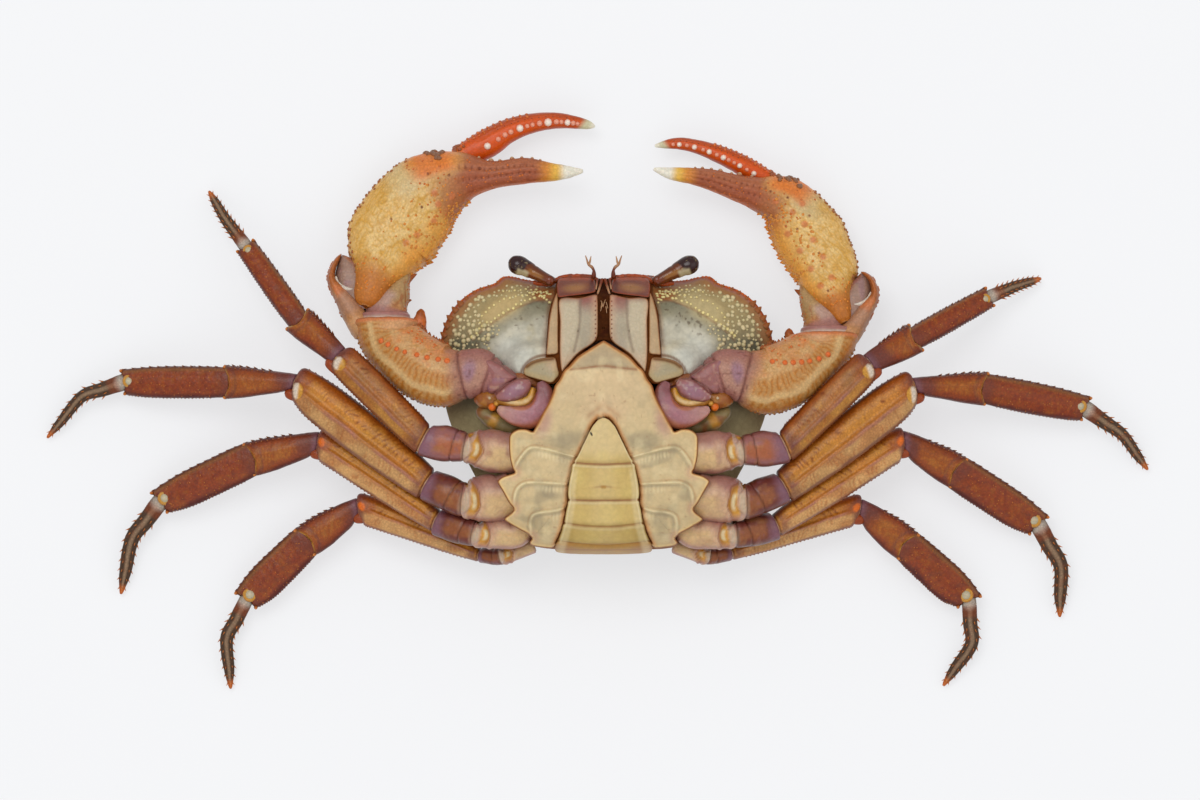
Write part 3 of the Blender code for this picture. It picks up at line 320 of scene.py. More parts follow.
def even_rows(rows, spacing, dimensions=3):
    """Rows read along a smooth curve at even distances, and those distances."""
    fine = np.linspace(0.0, len(rows) - 1.0, 60 * len(rows))
    places = curve(rows, fine)[:, :dimensions]
    steps = np.linalg.norm(np.diff(places, axis=0), axis=1)
    length = np.concatenate([[0.0], np.cumsum(steps)])
    wanted = np.linspace(0.0, length[-1], max(int(round(length[-1] / spacing)), 2) + 1)
    return curve(rows, np.interp(wanted, length, fine)), wanted


def closed_outline(points, spacing):
    """A smooth closed outline, anticlockwise, with even steps."""
    rows = [points[-1], *points, points[0], points[1]]
    fine = curve(rows, np.linspace(1.0, len(rows) - 2.0, 40 * len(points) + 1))
    length = np.concatenate([[0.0], np.cumsum(np.linalg.norm(np.diff(fine, axis=0), axis=1))])
    wanted = np.linspace(0.0, length[-1], int(length[-1] / spacing) + 1)[:-1]
    outline = np.column_stack([np.interp(wanted, length, fine[:, axis]) for axis in (0, 1)])
    after = np.roll(outline, -1, axis=0)
    area = np.sum(outline[:, 0] * after[:, 1] - after[:, 0] * outline[:, 1])
    return outline if area > 0 else outline[::-1]


def whole(half, midline):
    """A whole outline from distances to a midline."""
    left = [(midline + x, y) for x, y in half]
    return left + [(midline - x, y) for x, y in reversed(half) if x > 0.0]


def line_distance(points, line):
    """Distance in plan from points to a line of places."""
    line = np.asarray(line, dtype=float)
    flat = points[..., :2].reshape(-1, 2)
    best = np.full(len(flat), np.inf)
    for start, end in zip(line, line[1:]):
        way = end - start
        share = np.clip((flat - start) @ way / max(way @ way, 1e-9), 0.0, 1.0)
        best = np.minimum(best, np.linalg.norm(flat - start - share[:, None] * way, axis=1))
    return best.reshape(points.shape[:-1])


def inside(points, outline):
    """Whether points lie inside an outline in plan."""
    flat = points[..., :2].reshape(-1, 2)
    crossed = np.zeros(len(flat), dtype=bool)
    for (x0, y0), (x1, y1) in zip(outline, np.roll(outline, -1, axis=0)):
        if y0 == y1:
            continue
        spans = (flat[:, 1] < y0) != (flat[:, 1] < y1)
        crossed ^= spans & (flat[:, 0] < x0 + (x1 - x0) * (flat[:, 1] - y0) / (y1 - y0))
    return crossed.reshape(points.shape[:-1])


def beside(hand, rows):
    """Rows that start with a distance from the belly's midline, put on one side of it."""
    return [(BELLY_MIDLINE + hand * x, *rest) for x, *rest in rows]


def smooth_line(points, spacing=0.3):
    return even_rows(points, spacing, 2)[0]


class Grid:
    """Rings of points, closed round, that become one painted surface."""

    def __init__(self, points, tint, flip=False, caps=(True, True)):
        self.points = np.array(points, dtype=float)
        self.flip = flip
        self.caps = caps
        self.tint = np.ones((*self.points.shape[:2], 3)) * colour(tint)

    def normals(self):
        along = np.gradient(self.points, axis=0)
        around = np.roll(self.points, -1, axis=1) - np.roll(self.points, 1, axis=1)
        result = np.cross(along, around)
        return unit(-result if self.flip else result)

    def lift(self, height):
        self.points = self.points + self.normals() * np.asarray(height)[..., None]

    def noise(self, size, seed=0):
        return noise(self.points, size, seed)

    def rough(self, size, seed=0):
        """Noise of two sizes."""
        return (self.noise(size, seed) + 0.5 * self.noise(size * 0.47, seed + 5)) / 1.5

    def paint(self, *coats):
        """Lays coats over each other; each has a mask, a tint and, below full strength, a share."""
        for mask, tint, *share in coats:
            mask = (np.clip(mask, 0.0, 1.0) * (share[0] if share else 1.0))[..., None]
            self.tint = self.tint * (1.0 - mask) + colour(tint) * mask

    def shade(self, amount):
        """Lightens or darkens by a share."""
        self.tint = self.tint * (1.0 + np.asarray(amount)[..., None])

    def part(self):
        rings, count = self.points.shape[:2]
        index = np.arange(rings * count).reshape(rings, count)
        after = np.roll(index, -1, axis=1)
        corners = [index[:-1], index[1:], after[1:], after[:-1]]
        vertices = [self.points.reshape(-1, 3)]
        tints = [self.tint.reshape(-1, 3)]
        triangles = []
        number = rings * count
        for wanted, ring, turn in ((self.caps[0], 0, True), (self.caps[1], -1, False)):
            if not wanted:
                continue
            vertices.append(self.points[ring].mean(axis=0)[None])
            tints.append(self.tint[ring].mean(axis=0)[None])
            row = np.column_stack([index[ring], after[ring], np.full(count, number)])
            triangles.append(row[:, ::-1] if turn else row)
            number += 1
        quads = np.stack(corners, axis=-1).reshape(-1, 4)
        if self.flip:
            quads = quads[:, ::-1]
            triangles = [rows[:, ::-1] for rows in triangles]
        triangles = np.vstack(triangles) if triangles else np.zeros((0, 3), dtype=int)
        return np.vstack(vertices), quads, triangles, np.vstack(tints)


def even_angles(width, depth, squareness, count):
    """Angles whose points lie at even steps round an oval section."""
    fine = np.linspace(0.0, 2.0 * math.pi, 1441)
    x, y = oval(fine, squareness)
    steps = np.hypot(np.diff(x * width), np.diff(y * depth))
    length = np.concatenate([[0.0], np.cumsum(steps)])
    return np.interp(np.arange(count) / count * length[-1], length, fine)


def oval(angle, squareness):
    power = 2.0 / squareness
    x = np.sign(np.cos(angle)) * np.abs(np.cos(angle)) ** power
    return x, np.sign(np.sin(angle)) * np.abs(np.sin(angle)) ** power


class Tube(Grid):
    """A limb piece: oval rings along stations of x, y, z, half width and half depth."""

    def __init__(self, stations, hand, tint, spacing=0.3, squareness=2.3, start=None, end=None,
                 across=None, bevels=(0.35, 0.35)):
        rows, along = even_rows(stations, spacing)
        self.hand = hand
        self.centre = rows[:, :3]
        width = np.maximum(rows[:, 3], 0.05)
        depth = np.maximum(rows[:, 4], 0.05)
        tangent = unit(np.gradient(self.centre, axis=0))
        length = along[-1]
        reach = 1.3 * width.max()
        for normal, distance in ((start, along), (end, length - along)):
            if normal is not None:
                share = (1.0 - fade(0.0, reach, distance))[:, None]
                tangent = unit(tangent * (1.0 - share) + unit(np.array(normal, dtype=float)) * share)
        if across is None:
            side = unit(np.cross(tangent, UP))
        else:
            side = np.ones((len(rows), 1)) * np.array(across)
        up = unit(np.cross(side, tangent))
        for bevel, distance in zip(bevels, (along, length - along)):
            if bevel:
                shrink = 1.0 - np.clip(distance / bevel, 0.0, 1.0)
                scale = 1.0 - (1.0 - np.sqrt(1.0 - 0.9 * shrink ** 2)) * 0.45
                width = width * scale
                depth = depth * scale
        around = math.pi * (width.max() + depth.max())
        count = int(np.clip(around / spacing, 16, 240)) // 2 * 2
        self.angles = even_angles(width.mean(), depth.mean(), squareness, count)
        cosine, sine = oval(self.angles, squareness)
        points = (
            self.centre[:, None] + side[:, None] * cosine[None, :, None] * width[:, None, None]
            + up[:, None] * sine[None, :, None] * depth[:, None, None]
        )
        super().__init__(points, tint)
        self.along = along[:, None] + 0.0 * cosine[None]
        self.left_over = length - self.along
        self.share = self.along / length
        self.length = length
        self.tangent = tangent
        self.side = side * -hand
        self.width = width[:, None]
        self.front = -hand * cosine[None] + 0.0 * self.along
        self.top = sine[None] + 0.0 * self.along
        self.across = self.front * self.width

    def slide(self, amount):
        """Moves points along the limb."""
        self.points = self.points + self.tangent[:, None] * np.asarray(amount)[..., None]

    def spots(self, shares, degrees):
        """Points, outward ways and forward ways; degrees run from the front edge over the top."""
        rings, count = self.points.shape[:2]
        shares = np.asarray(shares, dtype=float)
        degrees = np.zeros(len(shares)) + degrees
        angles = np.radians(degrees if self.hand < 0 else 180.0 - degrees) % (2.0 * math.pi)
        row = shares * (rings - 1)
        turns = np.append(self.angles, 2.0 * math.pi)
        column = np.interp(angles, turns, np.arange(count + 1)) % count
        low = np.minimum(row.astype(int), rings - 2)
        left = column.astype(int)
        right = (left + 1) % count
        rest = (row - low)[:, None]
        turn = (column - left)[:, None]
        result = []
        for grid in (self.points, self.normals()):
            near = grid[low, left] * (1.0 - turn) + grid[low, right] * turn
            far = grid[low + 1, left] * (1.0 - turn) + grid[low + 1, right] * turn
            result.append(near * (1.0 - rest) + far * rest)
        return result[0], unit(result[1]), self.tangent[low]


class Plate(Grid):
    """A plate seen in plan: a rounded rim, a wall below it and a top that follows a rule."""

    def __init__(self, outline, centre, top, tint, spacing=0.3, rim=0.6, skirt=1.5, drawn=0.97, rows=2):
        edge = closed_outline(outline, spacing)
        centre = np.asarray(centre, dtype=float)
        reach = np.linalg.norm(edge - centre, axis=1).max()
        shares = np.linspace(1.0, 0.02, max(int(reach / spacing), 4))
        fine = np.array([0.9985, 0.995, 0.99, 0.982, 0.972])
        shares = np.concatenate([[1.0], fine, shares[shares < 0.965]])
        flat = centre + (edge - centre)[None] * shares[:, None, None]
        self.edge_distance = line_distance(flat, np.vstack([edge, edge[:1]]))
        drop = 1.0 - np.clip(self.edge_distance / rim, 0.0, 1.0)
        height = top(flat[..., 0], flat[..., 1]) - rim * (1.0 - np.sqrt(1.0 - drop ** 2 * 0.98))
        points = np.concatenate([flat, height[..., None]], axis=-1)
        deep = skirt(edge[:, 0], edge[:, 1]) if callable(skirt) else np.full(len(edge), skirt)
        wall = []
        for share in np.linspace(1.0, 0.0, rows, endpoint=False):
            low = centre + (edge - centre) * (1.0 - (1.0 - drawn) * share ** 1.5)
            wall.append(np.column_stack([low, height[0] - deep * share]))
        points = np.concatenate([np.array(wall), points])
        self.wall = np.zeros(points.shape[:2])
        self.wall[:rows] = 1.0
        self.edge_distance = np.concatenate([np.zeros((rows, len(edge))), self.edge_distance])
        super().__init__(points, tint, flip=True)

    def groove(self, line, width, depth, tint=None, strength=1.0):
        distance = line_distance(self.points, line)
        mask = bell(distance, width) * (self.edge_distance > 0.0)
        self.points[..., 2] -= mask * depth
        if tint is not None:
            self.paint((mask, tint, strength))


def studs(places, outward, radius, height, tint, tip, sharp=False, forward=None, lean=0.0, sides=8):
    """Small domes, or sharp spines, that stand on a surface, as one painted part."""
    places = np.asarray(places, dtype=float)
    count = len(places)
    if count == 0:
        return np.zeros((0, 3)), np.zeros((0, 4), dtype=int), np.zeros((0, 3), dtype=int), np.zeros((0, 3))
    radius = (np.zeros(count) + radius)[:, None, None, None]
    height = (np.zeros(count) + height)[:, None, None, None]
    axis = unit(outward + (0.0 if forward is None else forward * lean))
    helper = np.where(np.abs(axis[:, 2:3]) < 0.9, UP, np.array((1.0, 0.0, 0.0)))
    first = unit(np.cross(axis, helper))
    second = np.cross(axis, first)
    if sharp:
        profile = np.array([(1.15, -0.35), (1.0, 0.0), (0.72, 0.3), (0.46, 0.6), (0.22, 0.85),
                            (0.07, 0.97)])
    else:
        profile = np.array([(1.05, -0.4), (1.0, 0.0), (0.9, 0.35), (0.68, 0.65), (0.4, 0.88), (0.15, 0.98)])
    angle = np.arange(sides) * 2.0 * math.pi / sides
    ring = (
        first[:, None, None] * np.cos(angle)[None, None, :, None]
        + second[:, None, None] * np.sin(angle)[None, None, :, None]
    )
    points = (
        places[:, None, None] + ring * profile[None, :, 0, None, None] * radius
        + axis[:, None, None] * profile[None, :, 1, None, None] * height
    )
    peak = places + axis * height[:, 0, 0]
    rings = len(profile)
    index = np.arange(count * rings * sides).reshape(count, rings, sides)
    after = np.roll(index, -1, axis=2)
    quads = np.stack([index[:, :-1], after[:, :-1], after[:, 1:], index[:, 1:]], axis=-1).reshape(-1, 4)
    peaks = np.arange(count) + count * rings * sides
    triangles = np.stack(
        [index[:, -1], after[:, -1], np.repeat(peaks[:, None], sides, axis=1)], axis=-1
    ).reshape(-1, 3)
    blend = np.clip(profile[:, 1], 0.0, 1.0)[None, :, None, None]
    low = np.ones((count, 1, 1, 3)) * np.reshape(colour(tint), (-1, 1, 1, 3))
    high = np.ones((count, 1, 1, 3)) * np.reshape(colour(tip), (-1, 1, 1, 3))
    tints = np.broadcast_to(low * (1.0 - blend) + high * blend, (count, rings, sides, 3))
    return (
        np.vstack([points.reshape(-1, 3), peak]), quads, triangles,
        np.vstack([tints.reshape(-1, 3), high.reshape(-1, 3)]),
    )


def add_piece(name, parts, material, node=None):
    """Joins painted parts into one object that rides on the model."""
    vertices, quads, triangles, tints = [], [], [], []
    start = 0
    for points, four, three, colours in parts:
        vertices.append(points)
        tints.append(colours)
        quads.append(four + start)
        triangles.append(three + start)
        start += len(points)
    vertices = np.vstack(vertices)
    vertices[:, 2] = np.maximum(vertices[:, 2], FLOOR_GAP)
    quads = np.vstack(quads)
    triangles = np.vstack(triangles)
    corners = np.concatenate([quads.ravel(), triangles.ravel()])
    starts = np.concatenate([
        np.arange(len(quads)) * 4, np.arange(len(triangles)) * 3 + len(quads) * 4,
    ])
    data = bpy.data.meshes.new(name)
    data.vertices.add(len(vertices))
    data.vertices.foreach_set("co", (vertices * METRE_PER_MM).astype(np.float32).ravel())
    data.loops.add(len(corners))
    data.loops.foreach_set("vertex_index", corners.astype(np.int32))
    data.polygons.add(len(starts))
    data.polygons.foreach_set("loop_start", starts.astype(np.int32))
    data.update(calc_edges=True)
    layer = data.color_attributes.new("tint", "FLOAT_COLOR", "POINT")
    colours = np.column_stack([np.clip(np.vstack(tints) - SHEEN_HAZE, 0.003, 1.0), np.ones(len(vertices))])
    layer.data.foreach_set("color", colours.astype(np.float32).ravel())
    data.shade_smooth()
    data.materials.append(MATERIALS[material])
    item = bpy.data.objects.new(name, data)
    bpy.context.scene.collection.objects.link(item)
    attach(item, "root")
    if node:
        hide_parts(node)
    return item


def shell_material(name, roughness, coat, cell, cell_depth, grain, grain_depth, mottle,
                   scatter=0.0, gloss=0.28):
    """A painted shell: the tint layer, fine mottling, a net of cells and fine grain."""
    material = bpy.data.materials.new(name)
    material.use_nodes = True
    tree = material.node_tree
    shader = tree.nodes["Principled BSDF"]
    look = {
        "Specular IOR Level": gloss, "Coat Weight": coat * 0.4, "Coat Roughness": 0.25, "Metallic": 0.0,
    }
    if scatter:
        look.update({
            "Subsurface Weight": scatter, "Subsurface Radius": (0.0012, 0.0006, 0.0003),
            "Subsurface Scale": 1.0,
        })
    for socket, value in look.items():
        shader.inputs[socket].default_value = value

    def node(kind, values=()):
        made = tree.nodes.new("ShaderNode" + kind)
        for socket, value in dict(values).items():
            made.inputs[socket].default_value = value
        return made

    place = node("TexCoord")
    tint = node("Attribute")
    tint.attribute_name = "tint"
    cells = node("TexVoronoi", {"Scale": 1.0 / (cell * METRE_PER_MM)})
    cells.feature = "DISTANCE_TO_EDGE"
    fine = node("TexNoise", {"Scale": 1.0 / (grain * METRE_PER_MM), "Detail": 5.0, "Roughness": 0.65})
    net = node("MapRange", {"From Min": 0.0, "From Max": 0.28, "To Min": 1.0 - mottle, "To Max": 1.0})
    speckle = node("MapRange", {
        "From Min": 0.3, "From Max": 0.7, "To Min": 1.0 - mottle, "To Max": 1.0 + mottle * 0.5,
    })
    both = node("Math")
    both.operation = "MULTIPLY"
    tone = node("VectorMath")
    tone.operation = "SCALE"
    rough = node("MapRange", {"To Min": roughness - 0.08, "To Max": roughness + 0.12})
    low = node("Bump", {"Strength": 1.0, "Distance": cell_depth * METRE_PER_MM})
    high = node("Bump", {"Strength": 1.0, "Distance": grain_depth * METRE_PER_MM})
    for source, output, target, socket in (
        (place, "Object", cells, "Vector"), (place, "Object", fine, "Vector"),
        (cells, "Distance", net, "Value"), (fine, "Fac", speckle, "Value"),
        (net, "Result", both, 0), (speckle, "Result", both, 1),
        (tint, "Color", tone, 0), (both, "Value", tone, "Scale"), (tone, "Vector", shader, "Base Color"),
        (fine, "Fac", rough, "Value"), (rough, "Result", shader, "Roughness"),
        (cells, "Distance", low, "Height"), (fine, "Fac", high, "Height"),
        (low, "Normal", high, "Normal"), (high, "Normal", shader, "Normal"),
    ):
        tree.links.new(source.outputs[output], target.inputs[socket])
    return material


MATERIALS = {
    "back": shell_material("back_shell", 0.42, 0.15, 1.3, 0.04, 0.45, 0.09, 0.09),
    "sternum": shell_material("sternum_shell", 0.45, 0.1, 1.2, 0.02, 0.5, 0.04, 0.06, 0.1),
    "mouth": shell_material("mouth_shell", 0.38, 0.15, 0.7, 0.02, 0.35, 0.04, 0.08, 0.1),
    "palm": shell_material("claw_shell", 0.38, 0.2, 0.62, 0.05, 0.4, 0.06, 0.16, 0.1),
    "finger": shell_material("finger_shell", 0.32, 0.3, 0.5, 0.03, 0.3, 0.05, 0.12, 0.1),
    "leg": shell_material("leg_shell", 0.34, 0.25, 0.55, 0.05, 0.35, 0.06, 0.2),
    "toe": shell_material("toe_shell", 0.45, 0.1, 0.4, 0.05, 0.25, 0.08, 0.25),
    "skin": shell_material("joint_skin", 0.3, 0.4, 1.0, 0.03, 0.3, 0.05, 0.1, 0.2),
    "hollow": shell_material("mouth_hollow", 0.7, 0.0, 0.9, 0.04, 0.4, 0.08, 0.2, 0.0, 0.04),
    "eye": shell_material("eye_surface", 0.16, 0.6, 0.12, 0.01, 0.3, 0.01, 0.05),
}


def joint_plane(before, after):
    return unit(unit(before) + unit(after))


def leg_layout(word, number):
    """The path of each leg piece with its end planes, as in the plain model."""
    plan, facing = LEG_PLANS[(word, number)]
    joints = [np.array((x, y, z)) for (x, y), z in zip(plan, LEG_HEIGHTS[number])]
    root, coxa, merus, carpus, propodus, dactylus, middle, tip = joints
    paths = {
        "base": [root, root * 0.55 + coxa * 0.45, coxa, coxa * 0.5 + merus * 0.5, merus],
        "merus": [merus + (carpus - merus) * share for share in (0.0, 0.25, 0.5, 0.8, 1.0)],
        "carpus": [carpus + (propodus - carpus) * share for share in (0.0, 0.35, 0.7, 1.0)],
        "propodus": [propodus + (dactylus - propodus) * share for share in (0.0, 0.35, 0.7, 1.0)],
        "dactylus": [dactylus, dactylus * 0.5 + middle * 0.5, middle, middle * 0.4 + tip * 0.6, tip],
    }
    facing = math.radians(facing)
    normals = [np.array((math.cos(facing), math.sin(facing), 0.0))]
    ends = [root, merus, carpus, propodus, dactylus]
    following = [merus, carpus, propodus, dactylus, middle]
    for index in range(1, 5):
        before = ends[index] - (coxa if index == 1 else ends[index - 1])
        normals.append(joint_plane(before, following[index] - ends[index]))
    stations = {}
    for piece in LEG_PIECES:
        depths = [depth * DEPTH_SHARE[number] for depth in LEG_DEPTHS[piece]]
        rows = zip(paths[piece], LEG_WIDTHS[number][piece], depths)
        stations[piece] = [(*place, width, depth) for place, width, depth in rows]
    return stations, normals


def spine_row(tube, shares, degrees, radius, length, tint, tip, lean=1.2):
    places, outward, forward = tube.spots(shares, degrees)
    return studs(places - outward * 0.05, outward, radius, length, tint, tip, True, forward, lean, 7)


def dome_row(tube, shares, degrees, radius, height, tint, tip, lean=0.0):
    places, outward, forward = tube.spots(shares, degrees)
    return studs(places, outward, radius, height, tint, tip, False, forward, lean)


def scattered(tube, rng, count, shares, degrees, radius, height, tint, tip):
    """Domes at random; shares, degrees and radius are given as ranges."""
    drawn = [rng.uniform(*limits, count) for limits in (shares, degrees, radius)]
    return dome_row(tube, *drawn, height, tint, tip)


def dress_base(tube, number, seed):
    """Coxa, the open joint behind it, and the short ischium of a walking leg."""
    a, f, up = tube.share, tube.front, tube.top
    bow = a - 0.10 * f * f
    wobble = 0.02 * tube.noise(1.5, seed)
    tube.paint(
        (fade(0.2, 0.75, f + 8 * wobble), "mauve", 0.75),
        (fade(0.22, 0.36, bow) * fade(-0.2, 0.5, f), "mauve", 0.6),
        (fade(-0.65, -0.9, f), "mauve", 0.7),
        (band(0.02, 0.3, bow, 0.05) * band(-0.75, 0.15, f + 6 * wobble, 0.2), "coxa_cream", 0.75),
        (fade(0.04, 0.0, a), "suture", 0.3),
        (fade(0.0, -0.5, up), "olive", 0.35),
        (fade(0.36, 0.3, bow) * fade(0.0, 0.7, tube.noise(1.5, seed + 6)),
         "mauve", 0.5 if number == 2 else 0.25),
    )
    cavity = band(0.372, 0.465, bow + wobble, 0.008) * fade(-0.1, 0.15, up) * fade(-0.95, -0.6, f)
    # In the gold cavity, the pale band along its middle is a painted highlight, and the brown near the
    # coxa's lip, where the surface drops away, is painted shade.
    tube.paint(
        (cavity, "gold"),
        (band(0.40, 0.44, bow, 0.01) * cavity * band(-0.5, 0.35, f, 0.15), "ridge", 0.9),
        (band(0.352, 0.366, bow + wobble, 0.005) * fade(-0.3, 0.1, up), "suture", 0.75),
        (cavity * fade(0.43, 0.375, bow), "claw_brown", 0.55),
    )
    strip = band(0.475, 0.535, a + 0.03 * f + wobble, 0.008)
    tube.paint(
        (strip * fade(-0.4, -0.1, up), "pale_mauve"),
        (strip * band(-0.6, 0.4, f, 0.15) * fade(0.2, 0.6, up), "mouth", 0.7),
    )
    pleats = 0.5 + 0.5 * np.sin(tube.along * 2.0 * math.pi / 0.45 + 2.0 * tube.noise(1.0, seed))
    # The pleats are paler on the crests that the lift below raises: painted highlight.
    tube.paint(
        (strip * pleats, "pink_cream", 0.5),
        (band(0.545, 0.565, a, 0.006), "dark_brown", 0.7),
    )
    ischium = fade(0.56, 0.575, a)
    tube.paint(
        (ischium, "mauve" if number == 2 else "plum"),
        (ischium * band(-0.55, 0.35, f + 10 * wobble, 0.2) * (1.0 - fade(0.8, 0.9, a)),
         "orange_brown" if number == 2 else "claw_brown", 0.75),
    )
    blotches = fade(0.0, 0.6, tube.rough(1.1, seed + 8))
    tube.paint(
        (ischium * blotches * (up > 0), "beige", 0.45),
        (ischium * fade(0.1, 0.6, tube.rough(0.9, seed + 9)), "violet", 0.3),
        (band(0.66, 0.675, a + 0.02 * f, 0.006) * (up > 0), "dark_brown", 0.6),
        (fade(0.84, 0.96, a - 0.04 * f), "violet", 0.8),
        (ischium * fade(0.75, 1.0, np.abs(f)), "dark_brown", 0.5),
        (fade(0.1, 0.7, tube.rough(0.9, seed + 3)), "suture", 0.16),
    )
    pinch = -0.5 * cavity * fade(0.345, 0.40, bow)
    seam = bell(a - 0.555, 0.012) + 0.5 * bell(a + 0.02 * f - 0.667, 0.009)
    lip = 0.22 * bell(bow - 0.325, 0.018) * fade(-0.4, 0.2, up)
    tube.lift(pinch + lip - 0.35 * seam + 0.12 * strip + 0.05 * strip * pleats
              + 0.05 * tube.rough(1.2, seed))


def dress_merus(tube, number, seed):
    """The long piece: a rusty front band, a mustard middle, a mauve ridge and a pale lower strip."""
    a, f, up, w = tube.along, tube.front, tube.top, tube.across
    wobble = 0.10 * tube.noise(2.2, seed)
    fine = tube.rough(0.7, seed + 1)
    middle = "beige" if number == 2 else "merus_gold"
    ridge_at = {2: -0.30, 3: -0.22, 4: -0.12, 5: 0.0}[number]
    tube.paint(
        (np.ones_like(up), middle),
        (fade(-0.3, 0.7, tube.noise(3.5, seed + 11)), "tan_orange", 0.35),
        (fade(0.46, 0.80, f + wobble), "rust", 0.9),
    )
    slant = a / 0.95 + 0.55 * w + 0.9 * tube.noise(1.6, seed + 2)
    dash = bell(slant - np.round(slant), 0.17)
    broken = fade(-0.15, 0.35, tube.noise(0.9, seed + 4))
    tube.paint(
        (dash * broken * band(0.12, 0.75, f + wobble, 0.14), "dark_rust", 0.75),
        (fade(0.82, 0.97, f + 0.4 * wobble), "dark_brown", 0.75),
    )
    low_side = 1.0 - fade(ridge_at - 0.13, ridge_at - 0.05, f + 0.35 * wobble)
    tube.paint(
        (low_side, "gold_brown" if number == 2 else "pale_strip"),
        (band(ridge_at + 0.04, ridge_at + 0.20, f + 0.5 * wobble, 0.08), "rust", 0.4),
    )
    broad = fade(-0.5, 0.4, tube.noise(2.6, seed + 14))
    tube.paint(
        (band(ridge_at - 0.12, ridge_at + 0.05, f + 0.6 * wobble, 0.06) * (0.35 + 0.65 * broad),
         "mauve", 0.7),
    )
    slant = a / 0.75 - 0.5 * w + 1.1 * tube.noise(1.7, seed + 3)
    striae = bell(slant - np.round(slant), 0.2) * fade(-0.3, 0.4, tube.noise(1.1, seed + 9))
    tube.paint(
        (low_side * striae * band(-0.84, ridge_at - 0.12, f, 0.06), "rust", 0.5),
        (low_side * fade(-0.2, 0.6, noise(tube.points * np.array((0.5, 1.0, 1.0)), 1.8, seed + 12)),
         "rust", 0.4),
    )
    if number == 2:
        tube.paint((striae * band(-0.2, 0.45, f, 0.12), "rust", 0.5))
    tube.paint(
        (fade(-0.80, -0.93, f + 0.3 * wobble), "plum", 0.75),
        (fade(0.15, -0.3, up) * (f > -0.8), "red_brown"),
        (fade(0.1, -0.35, up), "red_brown"),
        (fade(0.1, -0.35, up) * fade(0.0, 0.5, tube.rough(1.1, seed + 7)), "dark_brown", 0.75),
        (fade(3.6, 1.6, tube.left_over + 8 * wobble) * fade(-0.45, 0.0, f), "rust", 0.8),
        (fade(1.9, 0.5, tube.left_over + 4 * wobble), "plum", 0.8),
        (fade(3.0, 0.6, a + 6 * wobble), "plum", 0.65),
        (band(0.25, 0.6, a, 0.12) * band(-0.5, 0.75, f, 0.15) * (up > 0), "mustard", 0.7),
        (fade(0.1, 0.7, tube.noise(1.2, seed + 15)) * band(-0.1, 0.5, f, 0.2), "gold", 0.3),
    )
    light = {2: 0.0, 3: 0.06, 4: 0.2, 5: 0.18}[number]
    tube.shade(0.12 * fine + 0.10 * tube.noise(2.0, seed + 6) + light)
    window = ((tube.left_over - 1.1) / 1.1) ** 2 + ((f + 0.32) / 0.42) ** 2
    window = fade(1.15, 0.85, window) * fade(0.0, 0.4, up) * (number < 4)
    tube.paint(
        (window, "gold"),
        (window * fade(1.3, 0.7, tube.left_over + 0.8 * f), "white", 0.9),
    )
    spot = fade(1.2, 0.6, np.hypot((tube.left_over - 0.75) / 0.7, (f - 0.15) / 0.30))
    tube.paint((spot * (up > 0) * (number > 3), "bright_orange"))
    crest = 0.24 * bell(f - ridge_at, 0.10)
    valley = -0.22 * bell(f - ridge_at - 0.27, 0.16) - 0.12 * bell(f - ridge_at + 0.3, 0.2)
    ends = fade(0.0, 3.0, a) * fade(0.5, 3.5, tube.left_over) * fade(0.0, 0.4, up)
    fine_cut = -0.05 * striae * low_side - 0.05 * dash * broken * band(0.1, 0.8, f, 0.1)
    size = tube.width / 3.2
    tube.lift((crest + valley) * ends * size + fine_cut * ends - 0.28 * window + 0.035 * fine)


def dress_carpus(tube, number, seed):
    a, f, up = tube.along, tube.front, tube.top
    mottled = tube.rough(1.0, seed)
    broad = tube.noise(2.6, seed + 2)
    tube.paint(
        (fade(-0.6, 0.6, broad), "rust", 0.9),
        (band(-0.25, 0.45, f + 0.2 * broad, 0.2) * (up > 0), "rust", 0.5),
        (fade(0.1, 0.6, mottled), "dark_rust", 0.5),
        (fade(0.68, 0.95, np.abs(f + 0.1 * broad)), "dark_brown", 0.75),
        (fade(4.2, 1.0, a + 1.5 * broad), "plum", 0.85),
        (fade(1.6, 0.5, a), "violet", 0.5),
    )
    edge = tube.left_over - 1.3 * (1.0 - f * f)
    tube.paint(
        (band(-0.1, 1.1, edge, 0.35) * fade(-0.1, 0.3, up), "plum", 0.6),
        (fade(0.25, 0.08, tube.left_over) * (up > -0.3), "tip_yellow", 0.75),
    )
    tube.shade(0.12 * mottled - 0.08)
    lines = bell(noise(tube.points * np.array((1.6, 0.7, 1.0)), 0.8, seed + 6), 0.2)
    heart = band(-0.5, 0.5, f + 0.2 * broad, 0.2) * fade(2.5, 5.0, a) * (up > 0)
    tube.paint(
        (heart, "tan_orange", 0.15),
        (lines * heart, "mustard", 0.3),
    )
    crest = 0.12 * bell(f - 0.15, 0.25) * (up > 0.0) * fade(2.0, 5.0, a)
    rim = 0.16 * fade(0.9, 0.2, tube.left_over) * (np.abs(f) < 0.97)
    tube.lift(crest + rim + 0.05 * mottled)
    notch = 1.25 * (1.0 - f * f) * fade(-0.1, 0.35, up)
    tube.slide(-notch * fade(3.2, 0.0, tube.left_over))


